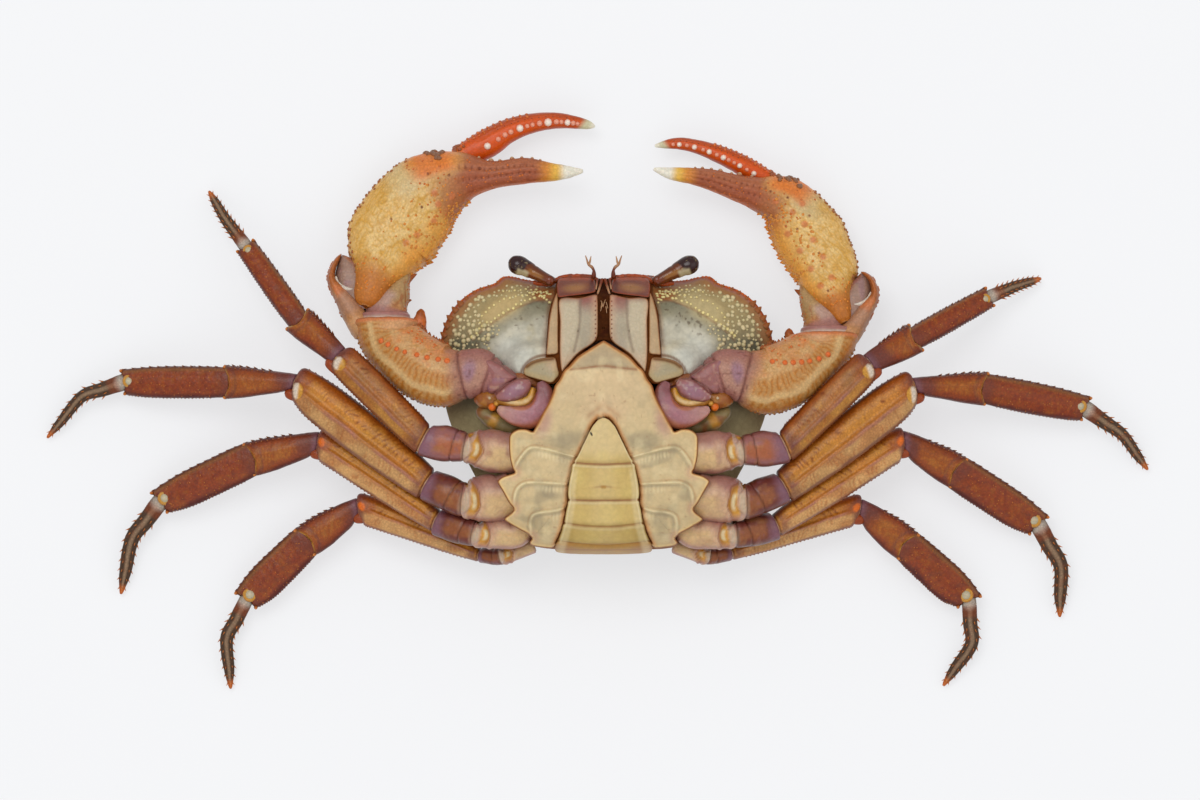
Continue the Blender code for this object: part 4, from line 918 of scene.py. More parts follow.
def dress_propodus(tube, number, seed):
    a, f, up = tube.along, tube.front, tube.top
    mottled = tube.rough(0.55, seed)
    broad = tube.noise(2.4, seed + 2)
    tube.paint(
        (fade(-0.2, 0.7, broad), "rust", 0.45),
        (fade(0.0, 0.55, mottled), "dark_rust", 0.6),
        (fade(-0.1, -0.6, mottled), "tan_orange", 0.25),
        (fade(0.60, 0.93, np.abs(f + 0.1 * broad)), "dark_brown", 0.8),
        (fade(3.2, 1.4, a + broad), "plum", 0.55),
        (fade(2.2, 0.9, tube.left_over + 0.5 * broad), "plum", 0.5),
    )
    tube.shade(0.12 * mottled - 0.10)
    tube.paint(
        (bell(f - 0.8, 0.1) * (up > 0), "taupe", 0.5),
        (fade(0.3, 0.7, tube.noise(0.9, seed + 5)) * (np.abs(f) < 0.6), "front_mauve", 0.5),
    )
    furrow = bell(f - 0.55, 0.12) + bell(f + 0.55, 0.12)
    tube.lift(0.06 * mottled - 0.08 * furrow * (up > 0) * fade(1.5, 4.0, a))
    notch = 0.55 * (1.0 - f * f) * fade(-0.1, 0.35, up)
    tube.slide(-notch * fade(2.0, 0.0, tube.left_over))


def dress_dactylus(tube, number, seed):
    a, f, up = tube.along, tube.front, tube.top
    mottled = tube.rough(0.8, seed)
    tube.paint(
        (fade(0.45, 0.1, np.abs(f + 0.1 * mottled)) * (up > 0), "toe_light", 0.7),
        (fade(0.0, 0.7, mottled), "red_brown", 0.25),
        (fade(1.5, 0.6, np.hypot(a - 0.9, 1.1 * f)) * (up > 0), "white", 0.55),
        (band(1.3, 3.2, a, 0.4), "red_brown", 0.45),
        (fade(2.2, 0.6, tube.left_over), "orange", 0.8),
    )
    groove = -0.12 * (bell(f - 0.55, 0.16) + bell(f + 0.55, 0.16))
    tube.lift(groove * fade(0.5, 3.0, a) + 0.04 * mottled)


LEG_DRESS = {
    "base": (dress_base, "pink_cream", "skin"), "merus": (dress_merus, "mustard", "leg"),
    "carpus": (dress_carpus, "red_brown", "leg"), "propodus": (dress_propodus, "red_brown", "leg"),
    "dactylus": (dress_dactylus, "leg_dark", "toe"),
}


def leg_spines(tube, piece, number):
    """Rows of spines on the edges of a leg piece."""
    if piece == "merus":
        front = np.linspace(0.12, 0.95, 26)
        rear = np.linspace(0.1, 0.95, 30)
        return [
            spine_row(tube, front, 3.0, 0.17, 0.26, "dark_rust", "tan_orange", 0.8),
            dome_row(tube, rear, 177.0, 0.15, 0.12, "dark_rust", "tan_orange"),
        ]
    if piece == "carpus":
        return [
            spine_row(tube, np.linspace(0.35, 0.97, 7), 6.0, 0.22, 0.55, "dark_brown", "spine"),
            dome_row(tube, np.linspace(0.35, 0.92, 8), 34.0, 0.15, 0.16, "dark_rust", "spine"),
            spine_row(tube, np.linspace(0.45, 0.95, 5), 345.0, 0.18, 0.4, "dark_brown", "spine"),
        ]
    if piece == "propodus":
        rng = np.random.default_rng(number)
        return [
            spine_row(tube, np.linspace(0.14, 0.97, 12), 12.0, 0.2, 0.4, "dark_brown", "spine"),
            spine_row(tube, np.linspace(0.2, 0.96, 11), 345.0, 0.18, 0.34, "dark_brown", "spine"),
            dome_row(tube, np.linspace(0.2, 0.96, 24), 176.0, 0.13, 0.12, "dark_brown", "tan_orange"),
            scattered(tube, rng, 60, (0.12, 0.95), (25.0, 160.0), (0.06, 0.13), 0.06, "dark_rust",
                      "tan_orange"),
        ]
    if piece == "dactylus":
        rows = []
        for row, degrees in enumerate((8.0, 55.0, 125.0, 172.0, 270.0)):
            shares = np.linspace(0.22 + 0.03 * (row % 2), 0.94, 9)
            sizes = np.interp(shares, (0.1, 1.0), (1.0, 0.6))
            if row in (1, 2):
                sizes = sizes * 0.7
            rows.append(spine_row(tube, shares, degrees, 0.19 * sizes, 0.85 * sizes, "spine", "orange"))
        return rows
    return []


ROOT_REACH = {2: 2.0, 3: 2.2, 4: 2.6, 5: 3.4}


def joint_pieces(before, after, normal, hand, number, index):
    """The soft sleeve, the rim and the small knobs at the joint of two leg pieces."""
    before = np.array(before)
    after = np.array(after)
    middle = (before[:3] + after[:3]) / 2.0
    size = np.minimum(before[3:], after[3:]) * 0.86
    rows = [(*(middle + normal * step), *size) for step in (-1.3, -0.4, 0.4, 1.1)]
    tint = "gold" if index in (2, 3) else "tan" if index == 1 else "white"
    collar = Tube(rows, hand, tint, 0.2, 2.3, normal, normal)
    folds = np.sin(collar.along * 2.0 * math.pi / 0.5)
    # Painted light and shade: lighter on the crests of the folds, darker in their troughs.
    collar.shade(0.18 * folds)
    if index > 1:
        collar.paint((fade(-0.3, 0.5, collar.noise(0.9, number + index)), "white", 0.5))
    collar.lift(0.07 * folds)
    parts = [collar.part()]
    side = unit(np.cross(normal, UP)) * -hand
    if index == 2:
        lobe_root = before[:3] - side * (before[3] - 0.75) - normal * 2.2 + UP * 0.3
        reach = [(-0.6, 0.5), (0.6, 0.85), (2.0, 0.95), (2.9, 0.8), (3.4, 0.35)]
        lobe = Tube([(*(lobe_root + normal * along), size, size * 0.9) for along, size in reach], hand,
                    "red_brown", 0.18, 2.0)
        lobe.paint((fade(0.6, 0.2, lobe.share), "plum", 0.7))
        parts.append(lobe.part())
    if index in (3, 4):
        reach = before[3] * 0.86
        knobs = np.array([before[:3] + side * reach * way - normal * 0.1 + UP * 0.25 for way in (1, -1)])
        outward = np.array([UP * 0.8 + side * way * 0.3 + normal * 0.5 for way in (1, -1)])
        parts.append(studs(knobs, unit(outward), 0.42 if index == 3 else 0.34, 0.62, "dark_rust",
                           "tan_orange", sides=12))
    if index == 4:
        radius = 0.46 * before[3]
        ball = before[:3] - normal * radius * 1.15 + UP * before[4] * 0.86
        parts.append(studs(ball[None], UP[None], radius * 1.12, 0.3, "gold_brown", "gold", sides=20))
        parts.append(studs(ball[None], UP[None], radius * 0.8, 0.5, "stalk_pale", "mouth", sides=20))
    return parts


def make_leg(word, number):
    hand = SIDES[word]
    stations, normals = leg_layout(word, number)
    joints = []
    for index, piece in enumerate(LEG_PIECES):
        dress, tint, material = LEG_DRESS[piece]
        end = normals[index + 1] if index < 4 else None
        rows = [list(row) for row in stations[piece]]
        if index == 0:
            place = np.array(rows[0][:3]) - normals[0] * ROOT_REACH[number] + np.array((0.0, 0.0, 0.2))
            rows.insert(0, [*place, rows[0][3] * 0.95, rows[0][4] * 0.95])
            wider = {2: 1.0, 3: 1.12, 4: 1.26, 5: 1.15}[number]
            lifts = (1.3, 1.3, 1.3, 0.8, 0.3, 0.0)
            rows = [[*row[:2], row[2] + lift, row[3] * wider, row[4]] for row, lift in zip(rows, lifts)]
        if index in (3, 4):
            inner = 1.35 if index == 3 else 0.6
            place = np.array(rows[0][:3]) - normals[index] * inner
            rows.insert(0, [*place, rows[0][3] * 0.84, rows[0][4] * 0.80])
        bevels = (0.5, 1.1) if index == 1 else (0.35, 0.5)
        tube = Tube(rows, hand, tint, LEG_SPACING, 2.3, normals[index], end, bevels=bevels)
        dress(tube, number, number * 7 + index + (40 if hand > 0 else 0))
        parts = [tube.part(), *leg_spines(tube, piece, number)]
        add_piece(f"leg_{number}_{word}_{piece}_shell", parts, material,
                  f"leg_{number}_{word}_{piece}")
        if index:
            joints += joint_pieces(stations[LEG_PIECES[index - 1]][-1], stations[piece][0], normals[index],
                                   hand, number, index)
    add_piece(f"leg_{number}_{word}_joints", joints, "skin")


def dress_claw_merus(tube, seed):
    a, f, up = tube.along, tube.front, tube.top
    wobble = 0.15 * tube.noise(2.2, seed)
    fine = tube.rough(0.7, seed + 1)
    body = fade(6.0, 8.0, a)
    tube.paint(
        (fade(0.3, 0.9, f + 2 * wobble), "salmon", 0.5),
        (body * band(-0.70, -0.40, f + wobble, 0.12), "cream", 0.14),
        (fade(-0.3, 0.6, tube.noise(1.4, seed + 5)) * (f > -0.2), "salmon", 0.25),
    )
    streaks = bell(noise(tube.points * np.array((0.8, 1.9, 1.0)), 0.6, seed + 7), 0.18)
    tube.paint((streaks * fade(0.0, 0.35, f) * body, "gold_brown", 0.6))
    slant = a / 0.8 + 0.7 * f + 0.55 * tube.noise(1.2, seed + 3)
    striae = bell(slant - np.round(slant), 0.22)
    combs = band(-0.40, 0.06, f + 0.6 * wobble, 0.1) + band(-1.0, -0.64, f + 0.6 * wobble, 0.06)
    tube.paint(
        (combs * body, "gold_brown", 0.55),
        (striae * combs * body, "comb_gold", 0.85),
        (fade(-0.74, -0.94, f + wobble) * body, "tan_orange", 0.6),
        (fade(0.1, 0.6, tube.noise(0.8, seed + 9)) * band(0.0, 0.8, f, 0.2) * body, "orange", 0.3),
        (fade(8.6, 5.8, a + 5 * wobble), "mauve", 0.75),
        (fade(5.9, 5.2, a), "claw_mauve", 0.8),
        (band(1.8, 5.4, a, 0.6) * band(-0.7, 0.6, f + wobble, 0.3) * (up > 0), "pink_cream", 0.35),
        # The bluish violet spot on the block near the root is a painted sheen.
        (fade(1.5, 0.5, np.hypot((a - 4.4) / 0.9, (f - 0.1) / 0.42)) * (up > 0), "claw_violet", 0.75),
        (fade(0.35, 0.75, tube.noise(0.5, seed + 8)) * (a < 6.5), "plum", 0.5),
        (fade(1.3, 0.6, a), "mauve", 0.8),
        (fade(-0.1, -0.5, up), "rust", 0.8),
        (fade(-0.1, -0.5, up) * fade(0.0, 0.5, fine), "dark_rust", 0.7),
        (fade(4.2, 2.0, tube.left_over) * fade(-0.5, 0.2, f), "salmon_pale", 0.8),
        (fade(1.5, 0.7, tube.left_over + 2 * wobble), "salmon", 0.85),
        (band(0.12, 0.4, tube.left_over, 0.1), "seam_red", 0.7),
    )
    seam = bell(a - 1.5, 0.16) + bell(a - 5.7 - 0.5 * f, 0.18)
    tube.paint((seam, "plum", 0.8))
    tube.shade(0.07 * fine)
    hollow = bell(tube.left_over - 2.6, 0.9) * fade(0.1, 0.5, up) * fade(-0.6, 0.0, f)
    rim = bell(tube.left_over - 0.9, 0.55) * fade(0.0, 0.5, up)
    tube.lift(-0.3 * seam + 0.05 * fine - 0.35 * hollow + 0.35 * rim - 0.05 * striae * combs * body)


HEELS = {
    "right": [
        (-38.4, 15.5, 10.4, 1.1, 1.0), (-38.2, 16.2, 10.1, 1.9, 2.0), (-37.7, 17.8, 9.3, 2.7, 3.1),
        (-36.9, 20.0, 8.0, 3.7, 4.0), (-36.0, 22.2, 6.8, 5.2, 4.5), (-35.2, 24.4, 5.7, 6.4, 4.8),
    ],
    "left": [
        (40.8, 12.9, 10.3, 0.9, 0.9), (40.5, 13.6, 10.0, 1.4, 1.8), (39.8, 15.4, 9.1, 2.3, 3.0),
        (38.9, 17.3, 8.0, 3.5, 3.8), (38.2, 19.3, 6.9, 4.5, 4.2), (37.8, 21.5, 6.0, 5.3, 4.4),
        (36.5, 24.5, 5.1, 5.7, 4.5),
    ],
}
WRISTS = {
    "right": {
        "arm": [
            (-38.3, 10.9, 9.6, 1.8, 2.9), (-39.2, 12.4, 9.5, 1.95, 2.9), (-40.1, 14.0, 9.2, 1.95, 2.7),
            (-41.4, 16.1, 8.8, 1.65, 2.6), (-43.0, 18.4, 8.4, 1.15, 2.6), (-43.9, 20.1, 8.2, 0.75, 2.4),
            (-43.7, 21.9, 8.1, 0.55, 2.0), (-42.9, 23.5, 8.0, 0.35, 1.3), (-42.3, 24.3, 8.0, 0.12, 0.4),
        ],
        "cup": [
            (-38.4, 14.6, 7.6, 2.9, 3.2), (-39.4, 17.0, 6.9, 3.3, 3.3), (-40.6, 19.6, 6.8, 2.8, 3.2),
            (-41.4, 22.0, 6.8, 2.0, 2.6), (-41.9, 23.2, 7.0, 1.1, 1.8), (-42.2, 24.0, 7.2, 0.3, 0.6),
        ],
        "lobe": [
            (-34.4, 12.4, 8.9, 3.5, 3.5), (-34.8, 14.1, 8.4, 3.6, 3.6), (-34.2, 15.9, 7.8, 3.1, 3.5),
            (-33.2, 17.5, 7.4, 2.3, 3.2), (-32.4, 19.2, 7.0, 1.5, 2.8), (-31.5, 20.7, 6.9, 0.8, 2.0),
            (-31.1, 21.6, 6.9, 0.2, 0.4),
        ],
        "moon": [
            (-43.2, 20.6, 9.4, 0.15, 0.2), (-42.9, 19.5, 9.6, 0.34, 0.3), (-42.1, 18.8, 9.7, 0.38, 0.3),
            (-41.2, 18.5, 9.8, 0.34, 0.3), (-40.2, 18.5, 9.8, 0.16, 0.3),
        ],
        "tooth": [
            (-29.6, 11.2, 10.6, 1.3, 1.6), (-29.4, 12.6, 10.9, 1.15, 1.4), (-29.2, 13.8, 11.1, 0.95, 1.1),
            (-29.1, 14.7, 11.2, 0.65, 0.7), (-29.1, 15.2, 11.2, 0.2, 0.2),
        ],
        "spine": (-31.3, 20.2, 7.2),
    },
    "left": {
        "arm": [
            (39.6, 9.0, 9.6, 1.7, 2.9), (41.0, 10.4, 9.5, 1.95, 2.9), (42.2, 11.9, 9.2, 1.8, 2.7),
            (43.6, 14.0, 8.8, 1.5, 2.6), (45.1, 16.2, 8.4, 1.05, 2.6), (45.8, 18.0, 8.2, 0.7, 2.4),
            (45.3, 19.8, 8.1, 0.5, 2.0), (44.3, 20.9, 8.0, 0.3, 1.2), (43.5, 21.3, 8.0, 0.12, 0.4),
        ],
        "cup": [
            (40.4, 12.2, 7.6, 2.8, 3.2), (41.4, 14.4, 6.9, 3.1, 3.3), (42.7, 16.9, 6.8, 2.6, 3.2),
            (43.5, 19.0, 6.8, 1.9, 2.6), (43.8, 20.3, 7.0, 1.05, 1.8), (43.7, 21.1, 7.2, 0.3, 0.6),
        ],
        "lobe": [
            (37.2, 10.3, 8.9, 3.4, 3.5), (37.3, 12.0, 8.4, 3.3, 3.6), (36.7, 13.7, 7.8, 2.9, 3.5),
            (35.6, 15.4, 7.4, 2.1, 3.2), (34.7, 17.0, 7.0, 1.35, 2.8), (34.0, 18.5, 6.9, 0.7, 2.0),
            (33.7, 19.5, 6.9, 0.2, 0.4),
        ],
        "moon": [
            (45.1, 18.0, 9.4, 0.15, 0.2), (44.8, 17.0, 9.6, 0.34, 0.3), (44.0, 16.3, 9.7, 0.38, 0.3),
            (43.1, 16.0, 9.8, 0.34, 0.3), (42.1, 16.0, 9.8, 0.16, 0.3),
        ],
        "tooth": [
            (32.3, 8.9, 10.6, 1.2, 1.5), (32.0, 10.0, 10.9, 1.05, 1.3), (31.7, 10.9, 11.1, 0.85, 1.0),
            (31.6, 11.6, 11.2, 0.55, 0.6), (31.6, 12.0, 11.2, 0.2, 0.2),
        ],
        "spine": (34.0, 17.6, 7.2),
    },
}


def wrist_parts(word, seed):
    """The carpus of a claw: its outer arm, the hollow that takes the palm, and its inner lobe."""
    hand = SIDES[word]
    shapes = WRISTS[word]
    arm = Tube(shapes["arm"], hand, "carpus", WRIST_SPACING, 2.2)
    wobble = arm.noise(1.8, seed)
    fine = arm.rough(0.6, seed + 1)
    arm.paint(
        (fade(0.50, 0.66, arm.share + 0.04 * wobble), "orange_brown", 0.9),
        (fade(0.24, 0.10, arm.share + 0.04 * wobble), "salmon_pale", 0.9),
        (band(0.24, 0.50, arm.share + 0.05 * wobble, 0.06), "neck_grey", 0.7),
        (band(0.46, 0.60, arm.share + 0.05 * wobble, 0.05) * (arm.front > -0.5), "salmon", 0.7),
        (fade(-0.5, -0.9, arm.front) * fade(0.3, 0.5, arm.share), "rust", 0.5),
        (fade(0.0, -0.6, arm.top), "rust", 0.8),
    )
    arm.shade(0.08 * fine)
    arm.lift(0.05 * fine + 0.08 * wobble)
    cup = Tube(shapes["cup"], hand, "cup", WRIST_SPACING, 2.4)
    cup.paint(
        (fade(0.4, 0.9, cup.front), "salmon", 0.5),
        (fade(0.1, 0.7, cup.noise(1.0, seed + 2)), "claw_violet", 0.35),
    )
    cup.shade(0.06 * cup.rough(0.7, seed + 3))
    lobe = Tube(shapes["lobe"], hand, "carpus", WRIST_SPACING, 2.5)
    wobble = lobe.noise(1.5, seed + 4)
    fine = lobe.rough(0.6, seed + 5)
    lobe.paint(
        (fade(0.2, 0.5, lobe.share + 0.05 * wobble), "ochre_olive", 0.6),
        (band(0.12, 0.5, lobe.share, 0.08) * fade(0.25, -0.15, lobe.front + 0.1 * wobble),
         "pale_mauve", 0.9),
        (fade(0.45, 0.9, lobe.front + 0.2 * wobble), "gold_brown", 0.7),
    )
    streaks = bell(noise(lobe.points * np.array((1.0, 0.5, 1.0)), 0.8, seed + 6), 0.15)
    lobe.paint(
        (streaks * fade(-0.1, 0.3, lobe.front) * fade(0.15, 0.3, lobe.share), "rust", 0.65),
        (fade(0.26, 0.16, lobe.share), "claw_mauve", 0.8),
        (fade(0.0, -0.6, lobe.top), "rust", 0.8),
    )
    lobe.shade(0.06 * fine)
    lobe.lift(0.05 * fine + 0.10 * wobble)
    moon = Tube(shapes["moon"], hand, "white", 0.12, 2.0)
    place = np.array([shapes["spine"], np.array(shapes["spine"]) + np.array((0.1, -3.6, 0.6))])
    ways = unit(np.array([(-hand * 0.9, 0.5, 0.0), (-hand, 0.15, 0.1)]))
    spines = studs(place, ways, np.array([0.75, 0.36]), np.array([1.7, 0.55]), "orange_brown", "rust", True)
    rng = np.random.default_rng(seed)
    bumps = scattered(arm, rng, 26, (0.3, 0.9), (160.0, 200.0), (0.16, 0.28), 0.16, "orange_brown",
                      "orange")
    grains = scattered(lobe, rng, 30, (0.25, 0.9), (0.0, 60.0), (0.1, 0.18), 0.1, "orange_brown", "orange")
    return [arm.part(), cup.part(), lobe.part(), moon.part(), spines, bumps, grains]


GRANULE_ROWS = {
    "right": [(-35.6, 9.9), (-34.4, 9.3), (-33.0, 8.6), (-31.7, 8.1), (-29.7, 7.6), (-27.9, 7.2),
              (-26.2, 6.8), (-24.6, 6.6)],
    "left": [(28.8, 6.5), (30.8, 6.4), (32.2, 6.3), (33.6, 6.4), (34.9, 6.6), (36.5, 7.0), (37.9, 7.6)],
}


def under_places(grid, kept, places):
    """Points and outward ways of the kept part of a surface, nearest in plan to given places."""
    surface = grid.points[kept].reshape(-1, 3)
    outward = grid.normals()[kept].reshape(-1, 3)
    found = [int(np.argmin(np.sum((surface[:, :2] - place) ** 2, axis=1))) for place in places]
    return surface[found], outward[found]


def plan_spots(tube, places, size, tint, strength, dip):
    """Round spots on the upper face of a limb at places given in plan."""
    for x, y in places:
        near = np.hypot(tube.points[..., 0] - x, tube.points[..., 1] - y)
        mask = fade(size, size * 0.45, near) * (tube.top > 0.0)
        tube.paint((mask, tint, strength))
        tube.points[..., 2] -= dip * mask


PALM_MARKS = {
    "right": {
        "rings": [(-26.9, 34.3), (-24.0, 33.8), (-26.3, 32.5), (-27.0, 29.7), (-29.8, 27.4), (-31.6, 26.1)],
        "pits": [(-24.5, 37.3), (-19.4, 38.4), (-28.0, 37.5), (-29.0, 32.0), (-26.2, 25.4), (-34.0, 30.0)],
    },
    "left": {
        "rings": [(32.2, 31.2), (34.2, 29.2), (31.4, 27.6), (35.6, 26.6), (33.4, 24.8), (37.2, 23.8),
                  (35.2, 21.8), (38.6, 20.4), (36.8, 19.0), (29.4, 33.0), (33.8, 32.6)],
        "pits": [(28.6, 34.6), (31.4, 33.6), (33.0, 28.4), (36.6, 24.4), (35.0, 30.6), (38.0, 18.2)],
    },
}


def dress_palm(tube, seed, word):
    hand = SIDES[word]
    a, f, up, u = tube.along, tube.front, tube.top, tube.share
    wobble = tube.noise(2.6, seed)
    fine = tube.rough(0.7, seed + 1)
    turned = tube.points @ np.array(((-0.65 * hand, 0.76, 0.0), (0.76, 0.65 * hand, 0.0), (0.0, 0.0, 1.0)))
    turned[..., 1] += 0.35 * tube.noise(1.3, seed + 17)
    net = noise(turned / np.array((2.2, 0.7, 1.0)), 0.8, seed + 3)
    second = noise(turned / np.array((2.6, 0.8, 1.0)), 0.5, seed + 13)
    threads = np.maximum(bell(net, 0.16), 0.8 * bell(second, 0.2))
    body = fade(0.60, 0.50, u + 0.03 * f)
    tube.paint(
        (band(0.10, 0.56, u, 0.06) * band(-0.7, 0.5, f + 0.15 * wobble, 0.3) * (up > 0), "palm_pale", 0.7),
        (threads * body * fade(-0.2, 0.2, up) * fade(0.75, 0.35, f + 0.2 * wobble), "palm_gold", 0.75),
        (body * fade(0.1, 0.7, tube.noise(1.9, seed + 4)) * (up > 0), "palm_gold", 0.3),
        (fade(0.40, 0.85, f + 0.2 * wobble) * (up > -0.4) * body, "orange_gold", 0.85),
        (fade(0.16, 0.05, u + 0.02 * wobble), "heel_brown", 0.9),
        (band(0.40, 0.52, u, 0.05) * band(-0.9, -0.2, f + 0.2 * wobble, 0.15) * (up > 0),
         "palm_grey", 0.55),
        (band(0.475, 0.60, u, 0.03) * fade(-0.15, -0.5, f), "orange", 0.85),
        (fade(0.44, 0.60, u + 0.06 * f + 0.02 * wobble) * fade(-0.6, 0.0, f), "finger", 0.85),
        (fade(0.58, 0.64, u), "finger", 0.95),
    )
    finger = fade(0.58, 0.66, u)
    tube.paint(
        (finger * fade(0.15, -0.5, f), "finger_light", 0.55),
        (finger * fade(0.1, 0.7, fine), "dark_rust", 0.35),
        (finger * fade(0.75, 0.95, f), "orange", 0.55),
        (fade(0.1, -0.6, up) * body, "rust", 0.8),
        (fade(0.1, -0.6, up) * body * fade(0.0, 0.5, fine), "dark_rust", 0.6),
        (fade(0.835, 0.885, u + 0.01 * wobble), "tip_orange", 0.9),
        (fade(0.875, 0.915, u), "tip_yellow"),
        (fade(0.91, 0.945, u), "claw_tip"),
    )
    marks = PALM_MARKS[word]
    plan_spots(tube, marks["rings"], 0.75, "salmon", 0.75, -0.12)
    plan_spots(tube, marks["pits"], 0.3, "front", 0.9, 0.12)
    rows = bell(f + 0.42, 0.12) + bell(f - 0.18, 0.12)
    dots = fade(0.35, 0.9, np.sin(a * 2.0 * math.pi / 0.95 + 3.0 * np.round(f * 2.0)))
    tube.paint((rows * dots * band(0.60, 0.84, u, 0.02) * (up > 0), "front", 0.75))
    tube.shade(0.05 * fine + 0.03 * wobble)
    grooves = -0.16 * rows * band(0.6, 0.88, u, 0.05) * (up > 0)
    tube.lift(grooves - 0.07 * rows * dots * finger * (u < 0.85) + 0.03 * threads * body + 0.05 * fine
              + 0.10 * wobble * body)


def dress_claw_dactylus(tube, seed):
    a, f, up, u = tube.along, tube.front, tube.top, tube.share
    wobble = tube.noise(1.8, seed)
    fine = tube.rough(0.7, seed + 1)
    tube.paint(
        (fade(-0.25, -0.75, f + 0.15 * wobble) * fade(0.05, 0.35, u), "finger_red", 0.85),
        (fade(-0.75, -0.98, f), "finger", 0.7),
        (fade(0.5, 0.95, f + 0.1 * wobble) * fade(0.3, 0.5, u), "finger_red", 0.6),
        (fade(0.45, 0.75, u), "finger_red", 0.35),
        (fade(0.1, 0.05, u), "orange", 0.6),
        (fade(0.2, 0.8, fine), "rust", 0.3),
        (fade(0.0, -0.6, up), "red_brown", 0.75),
    )
    tip = fade(0.885, 0.94, u + 0.02 * f)
    tube.paint(
        (tip, "dactylus_tip", 0.92),
        (fade(0.95, 0.99, u), "claw_tip", 0.9),
    )
    groove = -0.14 * bell(f + 0.5, 0.14) * band(0.2, 0.88, u, 0.06)
    tube.lift(groove + 0.04 * fine)


FINGER_TEETH = {
    "right": [
        (0.231, 0.66), (0.317, 0.34), (0.372, 0.36), (0.416, 0.36), (0.483, 0.7), (0.535, 0.3),
        (0.572, 0.3), (0.621, 0.38), (0.679, 0.74), (0.735, 0.36), (0.770, 0.3), (0.811, 0.6),
        (0.850, 0.34), (0.880, 0.26),
    ],
    "left": [
        (0.190, 0.5), (0.250, 0.26), (0.310, 0.5), (0.360, 0.26), (0.410, 0.28), (0.455, 0.54),
        (0.510, 0.28), (0.570, 0.52), (0.620, 0.26), (0.690, 0.5), (0.750, 0.26), (0.810, 0.46),
        (0.860, 0.24),
    ],
}


def claw_bumps(tube, piece, word):
    """Teeth of the fingers, bumps on the palm edges, and the teeth and granules of the merus."""
    rng = np.random.default_rng(len(piece) + len(word) * 10)
    if piece == "palm":
        parts = []
        for count, low, high, degrees, size, height in (
            (21, 0.17, 0.60, 4.0, 0.42, 0.55), (18, 0.19, 0.58, 20.0, 0.32, 0.26),
            (15, 0.2, 0.56, 36.0, 0.26, 0.16), (12, 0.22, 0.54, 340.0, 0.36, 0.4),
        ):
            shares = np.linspace(low, high, count) + rng.uniform(-0.006, 0.006, count)
            sizes = size * rng.uniform(0.75, 1.15, count)
            lengths = sizes * height / size
            tips = "orange" if degrees < 30.0 or degrees > 180.0 else "orange_gold"
            parts.append(spine_row(tube, shares, degrees + rng.uniform(-4, 4, count), sizes, lengths,
                                   "orange_gold", tips, 0.45))
        for count, degrees in ((26, 176.0), (20, 165.0)):
            shares = np.linspace(0.10, 0.47, count) + rng.uniform(-0.005, 0.005, count)
            sizes = rng.uniform(0.2, 0.33, count)
            parts.append(dome_row(tube, shares, degrees + rng.uniform(-4, 4, count), sizes, sizes * 0.9,
                                  "orange_brown", "taupe"))
        proximal = dome_row(tube, rng.uniform(0.03, 0.14, 30), rng.uniform(20.0, 170.0, 30), 0.2, 0.14,
                            "orange_gold", "orange")
        shares = np.array([0.655, 0.7, 0.73, 0.77, 0.8, 0.83, 0.855])
        sizes = np.array([0.3, 0.5, 0.3, 0.42, 0.3, 0.3, 0.24])
        biting = dome_row(tube, shares, 172.0, sizes, sizes, "finger", "peach")
        lumps = scattered(tube, rng, 16, (0.51, 0.565), (140.0, 180.0), (0.35, 0.62), 0.4, "claw_brown",
                          "knuckle")
        warts = scattered(tube, rng, 120, (0.2, 0.57), (15.0, 100.0), (0.12, 0.28), 0.1, "orange_gold",
                          "wart_orange")
        rough = scattered(tube, rng, 70, (0.44, 0.8), (10.0, 175.0), (0.12, 0.22), 0.1, "finger", "orange")
        return [*parts, proximal, biting, lumps, warts, rough]
    if piece == "dactylus":
        shares, sizes = np.array(FINGER_TEETH[word]).T
        whites = (sizes > 0.45)[:, None]
        sizes = np.where(sizes > 0.45, sizes * 0.94, sizes * 1.25)
        tips = np.where(whites, TINTS["pearl"], TINTS["pink_tooth"])
        pearls = dome_row(tube, shares, 82.0, sizes, sizes * 0.75, "pink_tooth", tips)
        lines = [
            dome_row(tube, np.linspace(0.05, 0.55, 13), degrees + rng.uniform(-6, 6, 13),
                     rng.uniform(0.15, 0.3, 13), 0.18, "finger_red", "orange")
            for degrees in (178.0, 165.0, 150.0, 135.0)
        ]
        pits = dome_row(tube, np.linspace(0.35, 0.85, 12), 118.0, 0.11, 0.03, "front", "front")
        lumps = scattered(tube, rng, 10, (0.02, 0.09), (120.0, 178.0), (0.26, 0.42), 0.28, "claw_brown",
                          "finger")
        return [pearls, *lines, pits, lumps]
    if piece == "merus":
        places, outward = under_places(tube, tube.top > 0.15, GRANULE_ROWS[word])
        row = studs(places, outward, rng.uniform(0.42, 0.54, len(places)), 0.3, "salmon", "row_orange")
        second = scattered(tube, rng, 22, (0.45, 0.9), (25.0, 62.0), (0.14, 0.26), 0.14, "salmon", "orange")
        edge = spine_row(tube, np.linspace(0.42, 0.80, 11), rng.uniform(-4, 8, 11),
                         rng.uniform(0.3, 0.45, 11), 0.5, "orange_brown", "rust", 0.4)
        tooth = spine_row(tube, [0.84, 0.76], [2.0, 8.0], np.array([0.7, 0.5]), np.array([1.0, 0.7]),
                          "orange_brown", "rust", 0.75)
        rear = dome_row(tube, np.linspace(0.34, 0.9, 34), 176.0 + rng.uniform(-5, 5, 34), 0.24, 0.2,
                        "orange_brown", "gold_brown")
        rear_2 = dome_row(tube, np.linspace(0.36, 0.88, 30), 162.0 + rng.uniform(-5, 5, 30), 0.2, 0.12,
                          "gold_brown", "gold")
        return [row, second, edge, tooth, rear, rear_2]
    return []


